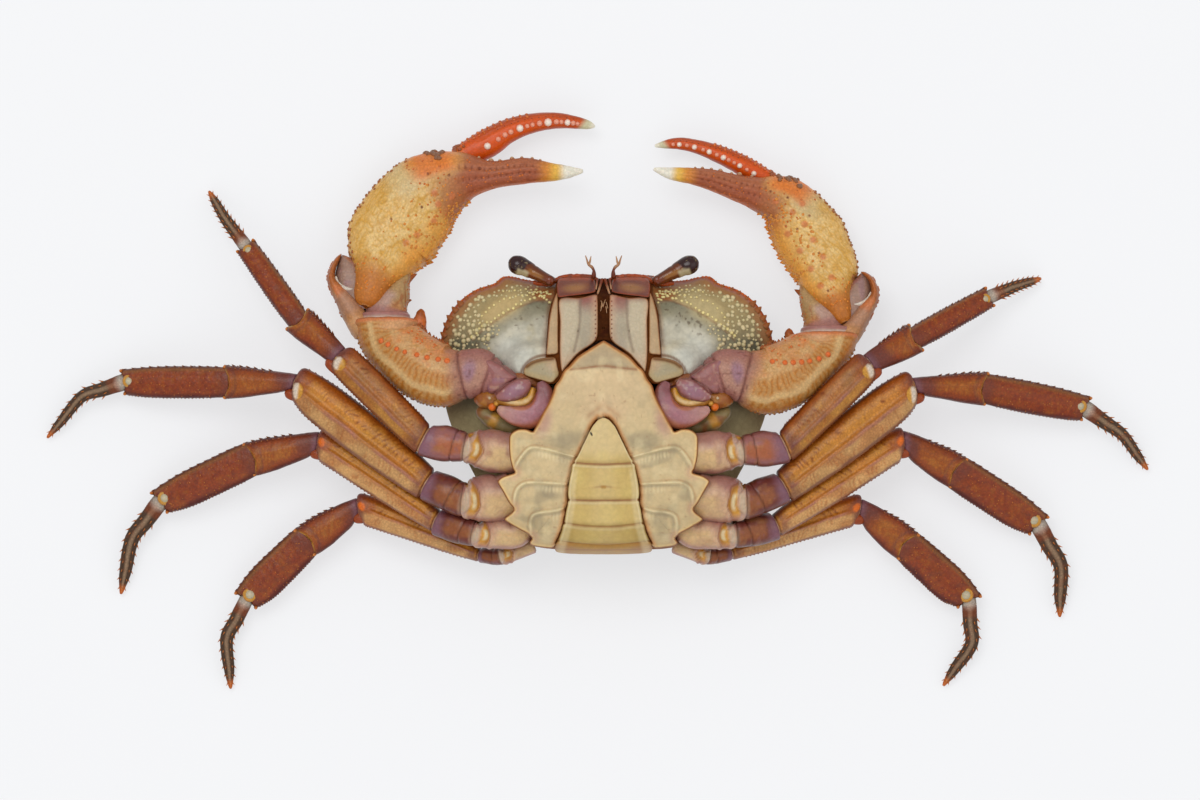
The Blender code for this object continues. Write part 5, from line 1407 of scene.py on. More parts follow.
COXA_PATH = [
    (10.4, 3.2, 0.7), (9.7, 1.4, 1.4), (10.3, -1.0, 1.8), (11.9, -2.5, 2.0), (14.0, -2.5, 1.75),
    (16.0, -1.9, 1.2), (17.4, -1.2, 0.5),
]
CAVITY_PATH = [(11.5, 2.2, 0.7), (12.1, 0.3, 1.0), (13.8, -0.5, 1.2), (15.8, -0.2, 1.0), (17.5, 0.3, 0.5)]
OVAL_PATH = [(17.6, 0.6, 0.45), (16.3, 0.95, 1.2), (14.8, 1.6, 1.6), (13.3, 2.4, 1.5), (12.1, 3.2, 0.6)]
TRIANGLE = [
    (19.6, 6.9), (17.2, 6.2), (15.3, 4.7), (14.3, 3.9), (15.8, 2.6), (17.6, 1.4), (19.0, 1.5), (19.6, 4.0),
]


def claw_root_parts(word, seed):
    """The curled coxa, the gilded joint inside it, and the plates that follow it."""
    hand = SIDES[word]

    def tube_of(path, z, depth, tint, spacing=0.16, squareness=2.2):
        rows = [(x, y, z, width, width * depth) for x, y, width in path]
        return Tube(beside(hand, rows), hand, tint, spacing, squareness)

    coxa = tube_of(COXA_PATH, 19.6, 0.8, "coxa_mauve", 0.16, 3.2)
    wobble = coxa.noise(1.5, seed)
    fine = coxa.rough(0.6, seed + 1)
    belly = np.hypot(coxa.points[..., 0] - BELLY_MIDLINE - hand * 13.6, coxa.points[..., 1] - 1.0)
    coxa.paint(
        (fade(2.75, 2.45, belly), "orange_brown", 0.75),
        (fade(0.2, 0.8, wobble), "pink_cream", 0.3),
        (fade(0.5, 1.0, coxa.share), "pink_cream", 0.35),
        (fade(0.8, 0.97, np.abs(coxa.front)), "plum", 0.5),
        (fade(4.3, 5.2, belly), "orange_brown", 0.7),
        (fade(0.36, 0.12, coxa.share), "plum", 0.6),
    )
    coxa.shade(0.07 * fine)
    coxa.lift(0.05 * fine + 0.06 * wobble)
    cavity = tube_of(CAVITY_PATH, 18.9, 1.1, "gold")
    # The gilded joint is darker along the side that lies against the coxa, as painted shade, and pale along
    # its middle, as a painted highlight.
    cavity.paint(
        (fade(0.2, -0.4, cavity.front), "dark_rust", 0.6),
        (band(-0.1, 0.5, cavity.front, 0.2) * band(0.2, 0.8, cavity.share, 0.1), "ridge", 0.5),
    )
    cavity.lift(0.08 * cavity.noise(0.8, seed + 2))
    lobe = tube_of(OVAL_PATH, 19.7, 0.9, "claw_mauve")
    # The bluish violet middle of the oval plate is a painted sheen.
    lobe.paint(
        (fade(1.1, 0.3, np.hypot(lobe.share * 2.0 - 1.0, lobe.front)), "claw_violet", 0.7),
        (fade(0.3, 0.7, lobe.noise(0.5, seed + 3)), "white", 0.25),
        (fade(0.55, 0.95, np.abs(lobe.front)), "plum", 0.6),
    )
    lobe.lift(0.04 * lobe.noise(0.6, seed + 4))

    def high(x, y):
        return 20.15 - 0.12 * (np.abs(x - BELLY_MIDLINE) - 16.0)

    outline = beside(hand, TRIANGLE)
    middle = (BELLY_MIDLINE + hand * 17.0, 4.0)
    triangle = Plate(outline, middle, crowned(outline, high, 0.6), "mauve", 0.12, 0.7, 2.6)
    triangle.paint(
        (fade(0.2, 0.8, triangle.noise(0.6, seed + 5)), "pink_cream", 0.3),
        (fade(0.2, 0.7, triangle.noise(1.2, seed + 12)), "claw_violet", 0.5),
        (fade(0.5, 0.1, triangle.edge_distance), "plum", 0.4),
    )
    rows = [(10.6, 2.6, 0.6), (12.6, 3.6, 0.9), (14.4, 3.6, 0.8), (15.6, 2.6, 0.4)]
    skin = tube_of(rows, 17.6, 1.2, "claw_brown")
    skin.paint((fade(-0.2, 0.5, skin.noise(0.8, seed + 6)), "suture", 0.7))
    skin.lift(0.14 * skin.noise(0.7, seed + 7))
    rows = [(15.6, 0.2, 0.8), (17.2, 0.6, 1.5), (18.8, 0.4, 1.7), (20.4, 0.2, 1.2), (21.3, 0.0, 0.4)]
    bed = tube_of(rows, 16.6, 1.3, "claw_brown")
    bed.paint((fade(-0.2, 0.5, bed.noise(0.9, seed + 10)), "gold_brown", 0.6))
    bed.lift(0.15 * bed.noise(0.9, seed + 11))
    rows = [(12.6, -4.6, 0.9), (15.2, -4.2, 1.5), (17.8, -3.2, 1.7), (19.8, -2.0, 1.2), (20.8, -1.2, 0.5)]
    flank = tube_of(rows, 15.6, 1.3, "flank", 0.2)
    flank.paint(
        (fade(0.0, 0.6, flank.noise(1.2, seed + 8)), "suture", 0.7),
        (band(0.55, 0.7, flank.share, 0.04), "gold", 0.7),
    )
    flank.lift(0.15 * flank.noise(1.2, seed + 9))
    places = beside(hand, [(18.3, -1.0, 18.6), (18.7, 0.5, 19.4), (17.6, -0.4, 19.0)])
    feet = np.array([colour(tint) for tint in ("orange_brown", "gold_brown", "claw_brown")])
    tips = np.array([colour(tint) for tint in ("bright_orange", "mouth", "gold")])
    knobs = studs(places, np.array([[hand * 0.3, -0.2, 1.0]] * 3), np.array([0.7, 0.3, 0.5]),
                  np.array([0.45, 0.3, 0.3]), feet, tips, sides=16)
    return [item.part() for item in (coxa, cavity, lobe, triangle, skin, bed, flank)] + [knobs]


def make_claw(word):
    hand = SIDES[word]
    shapes = CLAWS[word]
    facing = math.radians(shapes["root_facing"])
    root_normal = np.array((math.cos(facing), math.sin(facing), 0.0))
    base = np.array(shapes["base"])[:, :3]
    merus = np.array(shapes["merus"])[:, :3]
    merus_normal = joint_plane(base[-1] - base[0], merus[2] - merus[0])
    carpus_normal = np.array((0.0, 1.0, -0.15))
    seed = 60 + (20 if hand > 0 else 0)
    claws = {
        "base": ("claw_mauve", "skin", root_normal, merus_normal),
        "merus": ("merus_cream", "palm", merus_normal, carpus_normal),
        "carpus": ("carpus", "palm", carpus_normal, None),
        "palm": ("palm", "palm", None, None),
        "dactylus": ("scarlet", "finger", None, None),
    }
    for number, (piece, (tint, material, start, end)) in enumerate(claws.items()):
        if piece == "carpus":
            add_piece(f"claw_{word}_carpus_shell", wrist_parts(word, seed + 9), "palm",
                      f"claw_{word}_carpus")
            continue
        rows = shapes[piece]
        if piece == "palm":
            rows = [*HEELS[word], *rows]
        if piece == "base":
            slim = [(x, y, z - 0.9, width * 0.84, depth * 0.84) for x, y, z, width, depth in rows[:2]]
            rows = [*slim, rows[2]]
        tube = Tube(rows, hand, tint, CLAW_SPACING, 2.3, start, end)
        extra = []
        if piece == "base":
            tube.paint((fade(-0.3, 0.6, tube.noise(1.2, seed)), "plum", 0.6))
            extra = claw_root_parts(word, seed + 30)
        if piece == "merus":
            dress_claw_merus(tube, seed + number)
            tooth = Tube(WRISTS[word]["tooth"], hand, "salmon", 0.14, 2.0)
            tooth.paint(
                (fade(0.55, 0.85, tooth.share), "rust", 0.9),
                (fade(0.1, 0.7, tooth.noise(0.6, seed)), "bright_orange", 0.5),
            )
            tooth.lift(0.08 * tooth.noise(0.6, seed + 1))
            extra = [tooth.part()]
        if piece == "palm":
            dress_palm(tube, seed + number, word)
        if piece == "dactylus":
            dress_claw_dactylus(tube, seed + number)
        parts = [tube.part(), *claw_bumps(tube, piece, word), *extra]
        add_piece(f"claw_{word}_{piece}_shell", parts, material, f"claw_{word}_{piece}")
    before = np.array(shapes["merus"][-1])
    after = np.array(shapes["wrist_start"])
    middle = (before[:3] + after[:3]) / 2.0
    size = np.minimum(before[3:], after[3:]) * np.array((0.86, 0.8))
    rows = [(*(middle + carpus_normal * step), *size) for step in (-1.4, -0.4, 0.4, 1.1)]
    collar = Tube(rows, hand, "pale_mauve", 0.16, 2.3, carpus_normal, carpus_normal)
    folds = np.sin(collar.along * 2.0 * math.pi / 0.8)
    collar.paint(
        (fade(0.46, 0.52, collar.share) * fade(0.66, 0.6, collar.share), "white", 0.6),
        (fade(0.62, 0.74, collar.share), "claw_mauve", 0.85),
        (fade(0.45, 0.38, collar.share), "seam_red", 0.7),
    )
    collar.shade(0.08 * collar.noise(0.6, seed + 15))
    collar.lift(0.04 * folds)
    add_piece(f"claw_{word}_joint_skin", [collar.part()], "skin")


def rim_height(y):
    """Height of the carapace margin: lowest behind, highest at the sides."""
    return RIM_HEIGHT - RIM_REAR_FALL * fade(-10.0, -24.0, y) - RIM_FRONT_FALL * fade(13.0, 20.0, y)


def spread(line, spacing, seed, jitter=0.12):
    """Places at near-even steps along a line."""
    places = smooth_line(line, spacing)[:, :2]
    shake = np.random.default_rng(seed).uniform(-jitter, jitter, places.shape)
    return places + shake


SUTURE_LINE = [(21.6, 10.0), (20.6, 11.05), (19.2, 12.2), (15.4, 14.7), (11.6, 16.4), (8.9, 17.0)]
# The Y of places on the border of the mouth, and their distance from the midline.
MOUTH_BORDER = ([7.7, 9.2, 11.0, 13.6, 15.6, 17.2, 20.0], [9.4, 9.3, 9.15, 8.9, 8.5, 8.0, 7.9])
BACK_GROOVES = [
    [(0.0, 12.5), (2.6, 10.5), (4.2, 7.0), (4.0, 2.5), (5.5, 0.2), (9.5, 2.0), (14.0, 6.0), (19.0, 10.5)],
    [(4.0, 2.0), (3.2, -1.5), (5.0, -5.5), (6.2, -10.0)], [(0.0, 18.5), (0.6, 14.0), (0.0, 12.5)],
    [(9.5, -15.5), (4.0, -17.2), (0.0, -16.8)], [(13.0, 15.5), (8.0, 14.2), (3.0, 15.6)],
]


def paint_back(shell, under):
    """The back of the shell: brown with paler spots, grooved between its regions."""
    x = shell.points[..., 0] - CARAPACE_MIDLINE
    side = np.abs(x)
    mottled = shell.rough(2.4, 5)
    shell.paint(
        (fade(-0.1, 0.6, mottled), "back_light", 0.6),
        (fade(0.2, 0.7, shell.rough(0.9, 8)), "dark_brown", 0.5),
        (fade(17.0, 25.0, side), "olive", 0.45),
    )
    flat = np.stack([side, shell.points[..., 1]], axis=-1)
    cut = 0.0
    for line in BACK_GROOVES:
        distance = line_distance(flat, smooth_line(line, 0.8))
        mask = bell(distance, 0.55)
        shell.paint((mask * (1.0 - under), "dark_brown", 0.65))
        cut = np.maximum(cut, mask)
    return -0.22 * cut * (shell.points[..., 2] > 0.5) * (1.0 - under)


def paint_cheeks(shell, under):
    """The sides of the belly face: bluish white, with a yellow patch and dark outer parts."""
    x = shell.points[..., 0] - BELLY_MIDLINE
    y = shell.points[..., 1]
    side = np.abs(x)
    wobble = shell.noise(1.6, 21)
    fine = shell.rough(0.7, 22)
    flat = np.stack([side, y], axis=-1)

    def coat(*coats):
        shell.paint(*((under * mask, *look) for mask, *look in coats))

    coat(
        (1.0, "olive"),
        (fade(-0.3, 0.6, shell.noise(2.2, 23)), "slate", 0.6),
        (fade(19.5, 24.0, side + 0.8 * wobble), "dark_olive", 0.75),
    )
    pale = fade(1.25, 0.5, np.hypot((side - 12.4) / 7.4, (y - 8.6) / 6.6) + 0.07 * wobble)
    coat(
        (pale, "grey_white"),
        (pale * fade(-0.1, 0.6, shell.rough(1.3, 26)), "slate", 0.28),
        (pale * fade(0.0, 0.6, shell.rough(1.7, 27)), "yellow_grey", 0.3),
        (fade(1.2, 0.4, np.hypot((side - 15.0) / 4.0, (y - 7.2) / 4.0)), "blue_white", 0.55),
    )
    distance = line_distance(flat, smooth_line(SUTURE_LINE, 0.5))
    above = y - np.interp(side, *np.array(sorted(SUTURE_LINE)).T)
    dusk = band(-2.6, -0.1, above + 0.4 * wobble, 0.9) * (side < 22.0) * (side > 8.0)
    coat(
        (dusk, "olive", 0.45),
        (dusk * fade(0.42, 0.6, fine), "leg_dark", 0.5),
    )
    high = fade(0.0, 0.25, above) * fade(8.0, 9.0, side)
    coat(
        (high, "ochre_olive", 0.9),
        (high * fade(13.5, 9.5, side + 0.6 * wobble), "claw_brown", 0.65),
        (high * fade(15.0, 9.5, side) * fade(0.1, 0.45, shell.noise(0.6, 24)), "leg_dark", 0.4),
        (fade(19.5, 22.5, side + 0.9 * wobble) * fade(16.0, 9.0, y), "slate_teal", 0.6),
    )
    along_patch = (side - 16.7) * 0.851 - (y - 15.1) * 0.525
    across_patch = (side - 16.7) * 0.525 + (y - 15.1) * 0.851
    patch = fade(1.3, 0.5, np.hypot(along_patch / 4.0, across_patch / 2.1) + 0.12 * wobble)
    coat((patch, np.where((x < 0)[..., None], TINTS["yellow_patch"], TINTS["yellow_grey"]), 0.75))
    corner = fade(1.2, 0.5, np.hypot((side - 9.6) / 2.6, (y - 17.8) / 1.6))
    coat((corner, "rust", 0.6))
    margin = shell.edge
    coat(
        (fade(2.6, 1.2, margin + 0.3 * wobble) * fade(6.0, 10.0, y), "taupe", 0.85),
        (fade(1.0, 0.6, margin + 0.12 * wobble) * fade(12.0, 17.0, y), "mauve", 0.6),
    )
    shell.paint((fade(0.55, 0.25, margin + 0.1 * wobble) * fade(-4.0, 8.0, y), "front_edge", 0.9))
    line = bell(distance, 0.16) * under
    shell.paint((line, "suture", 0.4))
    border = np.interp(y, *MOUTH_BORDER)
    mouth = fade(0.25, 0.0, side - border) * fade(2.0, 4.0, y)
    # Inside the mouth's border the shell is dark: partly the colour of the mouthparts there, partly painted
    # shade in the hollow under the mouth plates.
    coat(
        (fade(1.2, 0.3, side - border) * (y > 5.0), "outline", 0.35),
        (mouth, "mouth_dark"),
    )
    arc = np.abs(np.hypot((side - 9.6) / 4.1, (y - 3.6) / 3.9) - 1.0)
    coat(
        (fade(0.10, 0.03, arc) * (y > 4.4), "tail_line", 0.7),
        (fade(18.6, 19.6, y) * fade(10.4, 9.0, side), "front"),
    )
    rear = fade(2.0, -3.0, y) * fade(15.0, 18.0, side)
    # The rear bulge is painted lighter than its own colour to make up for the shade it lies in: painted
    # light.
    coat(
        (rear, "bulge_lightened", 0.95),
        (fade(2.0, -2.0, y) * fade(15.0, 13.0, side), "claw_brown", 0.8),
    )
    dots = fade(0.5, 0.66, shell.noise(0.5, 29)) * band(-4.0, -0.2, above, 1.2)
    coat((dots * (side < 22.0), "leg_dark", 0.6))
    shell.shade(under * 0.07 * fine)
    return under * (0.02 * fine - 0.14 * bell(distance, 0.2) + 0.25 * patch)


def carapace_studs(shell, first_ring, outline):
    """Granules and the saw-toothed margin."""
    rng = np.random.default_rng(7)
    belly = slice(first_ring, None)
    parts = []
    rows = [
        ([(x, y + 0.55) for x, y in SUTURE_LINE], 0.8, 0.32),
        ([(9.4, 18.1), (13.0, 18.4), (16.4, 18.0)], 0.85, 0.27),
        ([(11.6, 17.6), (14.2, 17.3), (17.0, 16.4), (19.4, 14.6), (20.4, 13.0)], 0.95, 0.27),
        ([(8.9, 16.2), (9.6, 16.9), (10.6, 17.3)], 0.65, 0.27),
        ([(8.8, 17.4), (10.0, 18.0), (11.4, 18.0)], 0.6, 0.28),
        ([(9.2, 16.8), (10.6, 17.6), (12.2, 17.9)], 0.6, 0.26),
    ]
    for number, (line, spacing, radius) in enumerate(rows):
        for hand in (1.0, -1.0):
            places = spread(line, spacing, number * 2 + int(hand > 0))
            places = np.column_stack([BELLY_MIDLINE + hand * places[:, 0], places[:, 1]])
            sizes = radius * rng.uniform(0.75, 1.2, len(places))
            points, outward = under_places(shell, belly, places)
            parts.append(studs(points, outward, sizes, sizes * 0.6, "ochre_olive", "granule", sides=7))
    field = np.array([
        (x + rng.uniform(-0.24, 0.24), y + rng.uniform(-0.24, 0.24))
        for x in np.arange(9.4, 27.5, 0.8) for y in np.arange(0.5, 19.5, 0.8)
    ])
    above = field[:, 1] - np.interp(field[:, 0], *np.array(sorted(SUTURE_LINE)).T)
    in_patch = np.hypot((field[:, 0] - 16.5) / 4.2, (field[:, 1] - 14.8) / 2.2) < 0.95
    outer = (field[:, 0] > 18.7) & (field[:, 1] > 1.0) & ~in_patch
    upper = (above > 1.0) & ~in_patch & (field[:, 0] < 20.0)
    lower = (np.abs(above + 1.6) < 1.2) & (field[:, 0] > 17.0)
    kept = outer | upper | lower
    field, outer = field[kept], outer[kept]
    for hand in (1.0, -1.0):
        places = np.column_stack([BELLY_MIDLINE + hand * field[:, 0], field[:, 1]])
        held = inside(CARAPACE_CENTRE + (places - CARAPACE_CENTRE) * 1.05, outline)
        points, outward = under_places(shell, belly, places[held])
        coarse = outer[held]
        sizes = np.where(coarse, rng.choice([0.22, 0.3, 0.38, 0.46], len(points)),
                         rng.uniform(0.16, 0.27, len(points)))
        warm = rng.uniform(0.0, 1.0, len(points))[:, None]
        tips = TINTS["granule_mid"] * (1.0 - warm) + TINTS["granule_pale"] * warm
        parts.append(studs(points, outward, sizes, sizes * 0.6, "granule_low", tips, sides=7))
    steps = np.linalg.norm(np.diff(outline, axis=0, append=outline[:1]), axis=1)
    length = np.cumsum(steps)
    places = []
    for at in np.arange(0.0, length[-1], TOOTH_STEP):
        place = outline[np.searchsorted(length, at) % len(outline)]
        side = abs(place[0] - CARAPACE_MIDLINE)
        if place[1] > -1.0 and side > 17.5:
            places.append(place + (CARAPACE_CENTRE - place) * 0.006)
    places = np.array(places)
    outward = unit(np.column_stack([places - CARAPACE_CENTRE, np.full(len(places), 3.0)]))
    heights = rim_height(places[:, 1]) + 0.1
    ahead = np.tile((0.0, 1.0, 0.0), (len(places), 1))
    size = np.where(places[:, 1] > 16.5, 0.42, 0.64)
    points = np.column_stack([places, heights]) - outward * 0.25
    parts.append(studs(points, outward, size, size * 1.35, "claw_brown", "margin_tip", True, ahead, 0.35))
    beads = np.array([
        place for at in np.arange(0.0, length[-1], BEAD_STEP)
        for place in [outline[np.searchsorted(length, at) % len(outline)]]
        if place[1] > 16.6 and abs(place[0] - CARAPACE_MIDLINE) > 3.0
    ])
    outward = unit(np.column_stack([beads - CARAPACE_CENTRE, np.full(len(beads), 6.0)]))
    points = np.column_stack([beads, rim_height(beads[:, 1]) + 0.05]) - outward * 0.3
    parts.append(studs(points, outward, 0.3, 0.34, "front_edge", "orange"))
    backs = []
    for _ in range(900):
        x, y = rng.uniform(-27.0, 27.0), rng.uniform(-20.0, 20.0)
        far = np.hypot(x / 27.0, y / 22.0)
        if 0.62 < far < 1.0 and rng.random() < (far - 0.55) * 2.0:
            backs.append((CARAPACE_MIDLINE + x, y))
    backs = np.array(backs)
    backs = backs[inside(CARAPACE_CENTRE + (backs - CARAPACE_CENTRE) * 1.04, outline)]
    points, outward = under_places(shell, slice(None, first_ring), backs)
    parts.append(studs(points, outward, 0.26, 0.16, "back", "back_light", sides=5))
    return parts


def make_carapace():
    outline = closed_outline(whole(CARAPACE_HALF, CARAPACE_MIDLINE), 0.27)
    back = np.concatenate([np.linspace(0.02, 0.9, 50), np.linspace(0.91, 0.992, 10)])
    belly = np.concatenate([np.linspace(1.0, 0.9, 20), np.linspace(0.893, 0.3, 76)])
    offset = outline - CARAPACE_CENTRE
    rim = rim_height(outline[:, 1])
    rings = []
    for share in back:
        rise = max((share - REST_FLAT_SHARE) / (1.0 - REST_FLAT_SHARE), 0.0) ** BACK_POWER
        rings.append(np.column_stack([CARAPACE_CENTRE + offset * share, rim * rise * 0.97]))
    angle = np.degrees(np.arctan2(outline[:, 1], np.abs(offset[:, 0])))
    side_wall = fade(10.0, 27.0, angle)
    front = fade(35.0, 75.0, angle)
    rise = BELLY_RISE + side_wall * (BELLY_SIDE_RISE + BELLY_FRONT_RISE * front)
    for share in belly:
        height = rim + rise * (1.0 - share ** (2.5 + 2.6 * front))
        rings.append(np.column_stack([CARAPACE_CENTRE + offset * share, height]))
    shell = Grid(np.array(rings), "back", flip=True)
    under = np.zeros(shell.points.shape[:2])
    under[len(back):] = 1.0
    shares = np.concatenate([back, belly])[:, None]
    shell.edge = (1.0 - shares) * np.linalg.norm(offset, axis=1)[None]
    low = paint_back(shell, under)
    shell.lift(paint_cheeks(shell, under) + low)
    side = np.abs(shell.points[..., 0] - BELLY_MIDLINE)
    y = shell.points[..., 1]
    border = np.interp(y, *MOUTH_BORDER)
    mouth = fade(0.0, -0.6, side - border) * fade(2.5, 4.5, y)
    seam = bell(side - border - 0.1, 0.35) * fade(5.0, 7.0, y)
    inner = fade(1.5, 3.5, shell.edge)
    shell.points[..., 2] -= under * inner * (MOUTH_THICKNESS * mouth + 0.4 * seam)
    level = mouth_height(y) - side_fall(shell.points[..., 0]) - 0.7
    near = under * fade(1.9, 1.0, np.hypot((side - 10.4) / 3.9, (y - 6.2) / 2.4)) * fade(3.4, 4.6, y)
    shell.points[..., 2] += near * (1.0 - mouth) * np.maximum(level - shell.points[..., 2], 0.0)
    add_piece("carapace_shell", [shell.part()], "back", "carapace")
    add_piece("carapace_granules", carapace_studs(shell, len(back), outline), "back")


def mouth_height(y):
    return MOUTH_FRONT_TOP + (MOUTH_FRONT_Y - y) * MOUTH_SLOPE


def front_height(y, foot):
    """Height of the steep face in front of the mouth, from its foot upwards."""
    return foot + (FRONT_FACE_Y - y) * FRONT_FACE_SLOPE


def side_fall(x):
    """How much lower the mouth lies towards the cheeks."""
    return 0.35 * np.maximum(np.abs(x - BELLY_MIDLINE) - 8.0, 0.0)


def sternum_top(x, y):
    fall = 0.1 * np.maximum(y, 0.0) + 0.25 * np.maximum(-19.0 - y, 0.0) + 0.95 * np.maximum(-21.6 - y, 0.0)
    side = np.abs(x - BELLY_MIDLINE)
    return STERNUM_BOTTOM + STERNUM_RISE - fall - 1.4 * fade(6.0, 18.0, side)


PLEON_HALF = [
    (0.0, -2.7), (0.8, -2.85), (1.35, -3.4), (1.95, -4.3), (3.05, -6.7), (4.35, -9.7), (4.9, -10.5),
    (5.6, -13.2), (5.85, -15.4), (5.8, -16.6), (6.2, -18.2), (6.6, -20.2), (7.3, -22.4), (7.8, -23.4),
    (8.1, -24.6), (8.1, -26.0),
]


def make_sternum():
    """The belly plate, its raised arcs, lobes and the trough round the tail flap."""

    def wall_depth(x, y):
        return 9.0 + 4.0 * fade(-19.0, -23.5, y)

    plate = Plate(whole(STERNUM_HALF, BELLY_MIDLINE), STERNUM_CENTRE, sternum_top, "sternum",
                  0.2, 0.6, wall_depth, 0.93, 14)
    x = plate.points[..., 0] - BELLY_MIDLINE
    y = plate.points[..., 1]
    side = np.abs(x)
    edge = plate.edge_distance
    flat = np.stack([side, y], axis=-1)
    wobble = plate.noise(2.4, 31)
    fine = plate.rough(0.8, 32)
    plate.paint(
        (fade(-6.0, 3.0, y + wobble), "peach", 0.45),
        (fade(5.0, 5.6, y), "front_sternite", 0.85),
        (fade(1.2, 0.3, np.hypot(side / 4.6, (y + 1.6) / 3.0)), "peach", 0.8),
    )
    chevron = bell(y + 0.55 + 0.75 * side, 0.5) * band(0.4, 2.8, side, 0.5)
    plate.paint(
        (chevron, "outline", 0.3),
        (fade(1.3, 0.3, np.hypot((side - 10.2) / 1.9, (y + 2.9) / 3.4) + 0.12 * wobble),
         "sternum_mauve", 0.6),
        (fade(1.3, 0.4, np.hypot((side - 6.6) / 3.4, (y + 6.6) / 1.7) + 0.12 * wobble), "grey", 0.65),
        (fade(0.25, 0.7, plate.noise(1.3, 34)), "grey", 0.22),
        # Warm bands just inside the edges, a broad one all round and a narrow one in front, are painted
        # shade that rounds off the plate.
        (fade(1.6, 0.2, edge + 0.3 * wobble), "edge_shade_warm", 0.3),
        (fade(0.8, 0.2, edge + 0.1 * wobble) * fade(-6.0, -3.0, y), "tail_halo", 0.4),
    )
    rise = 0.0
    for number, line in enumerate(STERNUM_ARCS):
        points = smooth_line(line, 0.4)
        distance = line_distance(flat, points)
        order = np.argsort(points[:, 0])
        below = np.interp(side, points[order, 0], points[order, 1]) - y
        near = (side > points[:, 0].min() - 0.5) * (side < points[:, 0].max())
        zone = band(0.25, 2.3, below + 0.3 * wobble, 0.3) * near
        striae = 0.5 + 0.5 * np.sin(side * 2.0 * math.pi / 0.62 + 1.6 * plate.noise(1.4, 35 + number))
        plate.paint(
            (zone * fade(13.5, 9.5, side) * fade(0.2, -0.5, wobble), "grey", 0.6),
            (zone * striae * band(5.5, 11.0 - number, side, 0.8) * band(0.3, 1.6, below, 0.3),
             "ridge", 0.55),
        )
        crest = bell(distance, 0.22)
        outer = bell(distance - 0.42, 0.16) * (below < 0.0) * fade(6.0, 12.0, side)
        # Along each raised arc, the pale crest is a painted highlight and the grey band on its rear side is
        # painted shade.
        plate.paint(
            (outer, "outline", 0.4),
            (bell(distance - 0.45, 0.3) * (below > 0.0), "grey", 0.55),
            (crest, "ridge", 0.9),
        )
        rise = rise + 0.3 * crest - 0.14 * bell(distance - 0.6, 0.35)
        rise = rise + 0.03 * zone * striae
    for tip_x, tip_y in ((14.8, -11.7), (14.9, -17.6), (11.9, -22.4)):
        near = np.hypot(side - tip_x, y - tip_y)
        plate.paint(
            (fade(1.9, 0.4, near), "pink_cream", 0.9),
            (fade(0.8, 0.2, near), "mauve", 0.6),
        )
    plate.lift(rise * fade(0.1, 0.6, edge))
    front = smooth_line([(-5.4, 5.15), (-3.0, 5.4), (0.0, 5.75), (3.0, 5.4), (5.4, 5.15)], 0.4)
    front[:, 0] += BELLY_MIDLINE
    plate.groove(front, 0.2, 0.14, "suture", 0.75)
    tail = np.array(whole(PLEON_HALF, BELLY_MIDLINE))
    near = line_distance(plate.points, tail)
    outside = ~inside(plate.points, tail)
    # The dark line in the trough round the tail flap, and the dark under the flap, are painted shade.
    plate.paint(
        (fade(1.1, 0.3, near + 0.1 * wobble) * outside, "tail_halo", 0.65),
        (fade(0.32, 0.12, near), "tail_line"),
        (~outside, "tail_line"),
    )
    plate.lift(-0.25 * fade(0.6, 0.1, near) - 0.2 * (~outside))
    plate.paint(
        (fade(0.62, 0.3, edge), "rim_light", 0.6),
        (fade(0.30, 0.12, edge), "outline", 0.9),
        (fade(0.10, 0.03, edge), "tail_line", 0.9),
    )
    wall = plate.wall
    plate.paint(
        (fade(-5.2, -3.5, y) * fade(0.55, 0.2, edge), "outline", 0.8),
        (wall, "peach"),
        (wall * fade(-0.2, 0.5, plate.noise(1.8, 38)), "mauve", 0.5),
        (wall * fade(17.5, 14.5, plate.points[..., 2]), "flank", 0.8),
    )
    patches = fade(0.05, 0.6, plate.noise(2.0, 33)) * fade(-2.0, -7.0, y)
    plate.paint(
        (fade(0.72, 0.85, plate.noise(0.45, 39)), "suture", 0.3),
        (patches * fade(1.0, 1.8, edge), "grey", 0.5),
        (fade(0.15, 0.7, plate.noise(1.5, 37)) * fade(0.6, 1.2, edge), "ridge", 0.3),
    )
    plate.shade(0.05 * fine + 0.05 * wobble - 0.10 * fade(-11.0, -20.0, y))
    plate.lift(0.012 * fine)
    add_piece("sternum_shell", [plate.part()], "sternum", "sternum")


TAIL_STATIONS = [
    (-4.4, 23.8, 1.95, 0.6), (-6.5, 23.9, 3.0, 0.7), (-9.1, 23.9, 4.3, 0.8), (-10.2, 23.9, 4.95, 0.8),
    (-13.0, 23.8, 5.6, 0.8), (-15.0, 23.7, 5.85, 0.8), (-16.4, 23.6, 5.75, 0.8), (-17.8, 23.4, 6.1, 0.8),
    (-19.9, 22.9, 6.5, 0.8), (-22.0, 21.8, 7.2, 0.8), (-23.2, 20.2, 7.75, 0.8), (-24.0, 17.4, 8.0, 0.75),
    (-24.4, 12.6, 7.9, 0.7), (-24.3, 9.4, 7.7, 0.7), (-24.0, 6.9, 7.3, 0.6),
]
TAIL_SUTURES = (-10.1, -16.2, -20.0, -23.0)


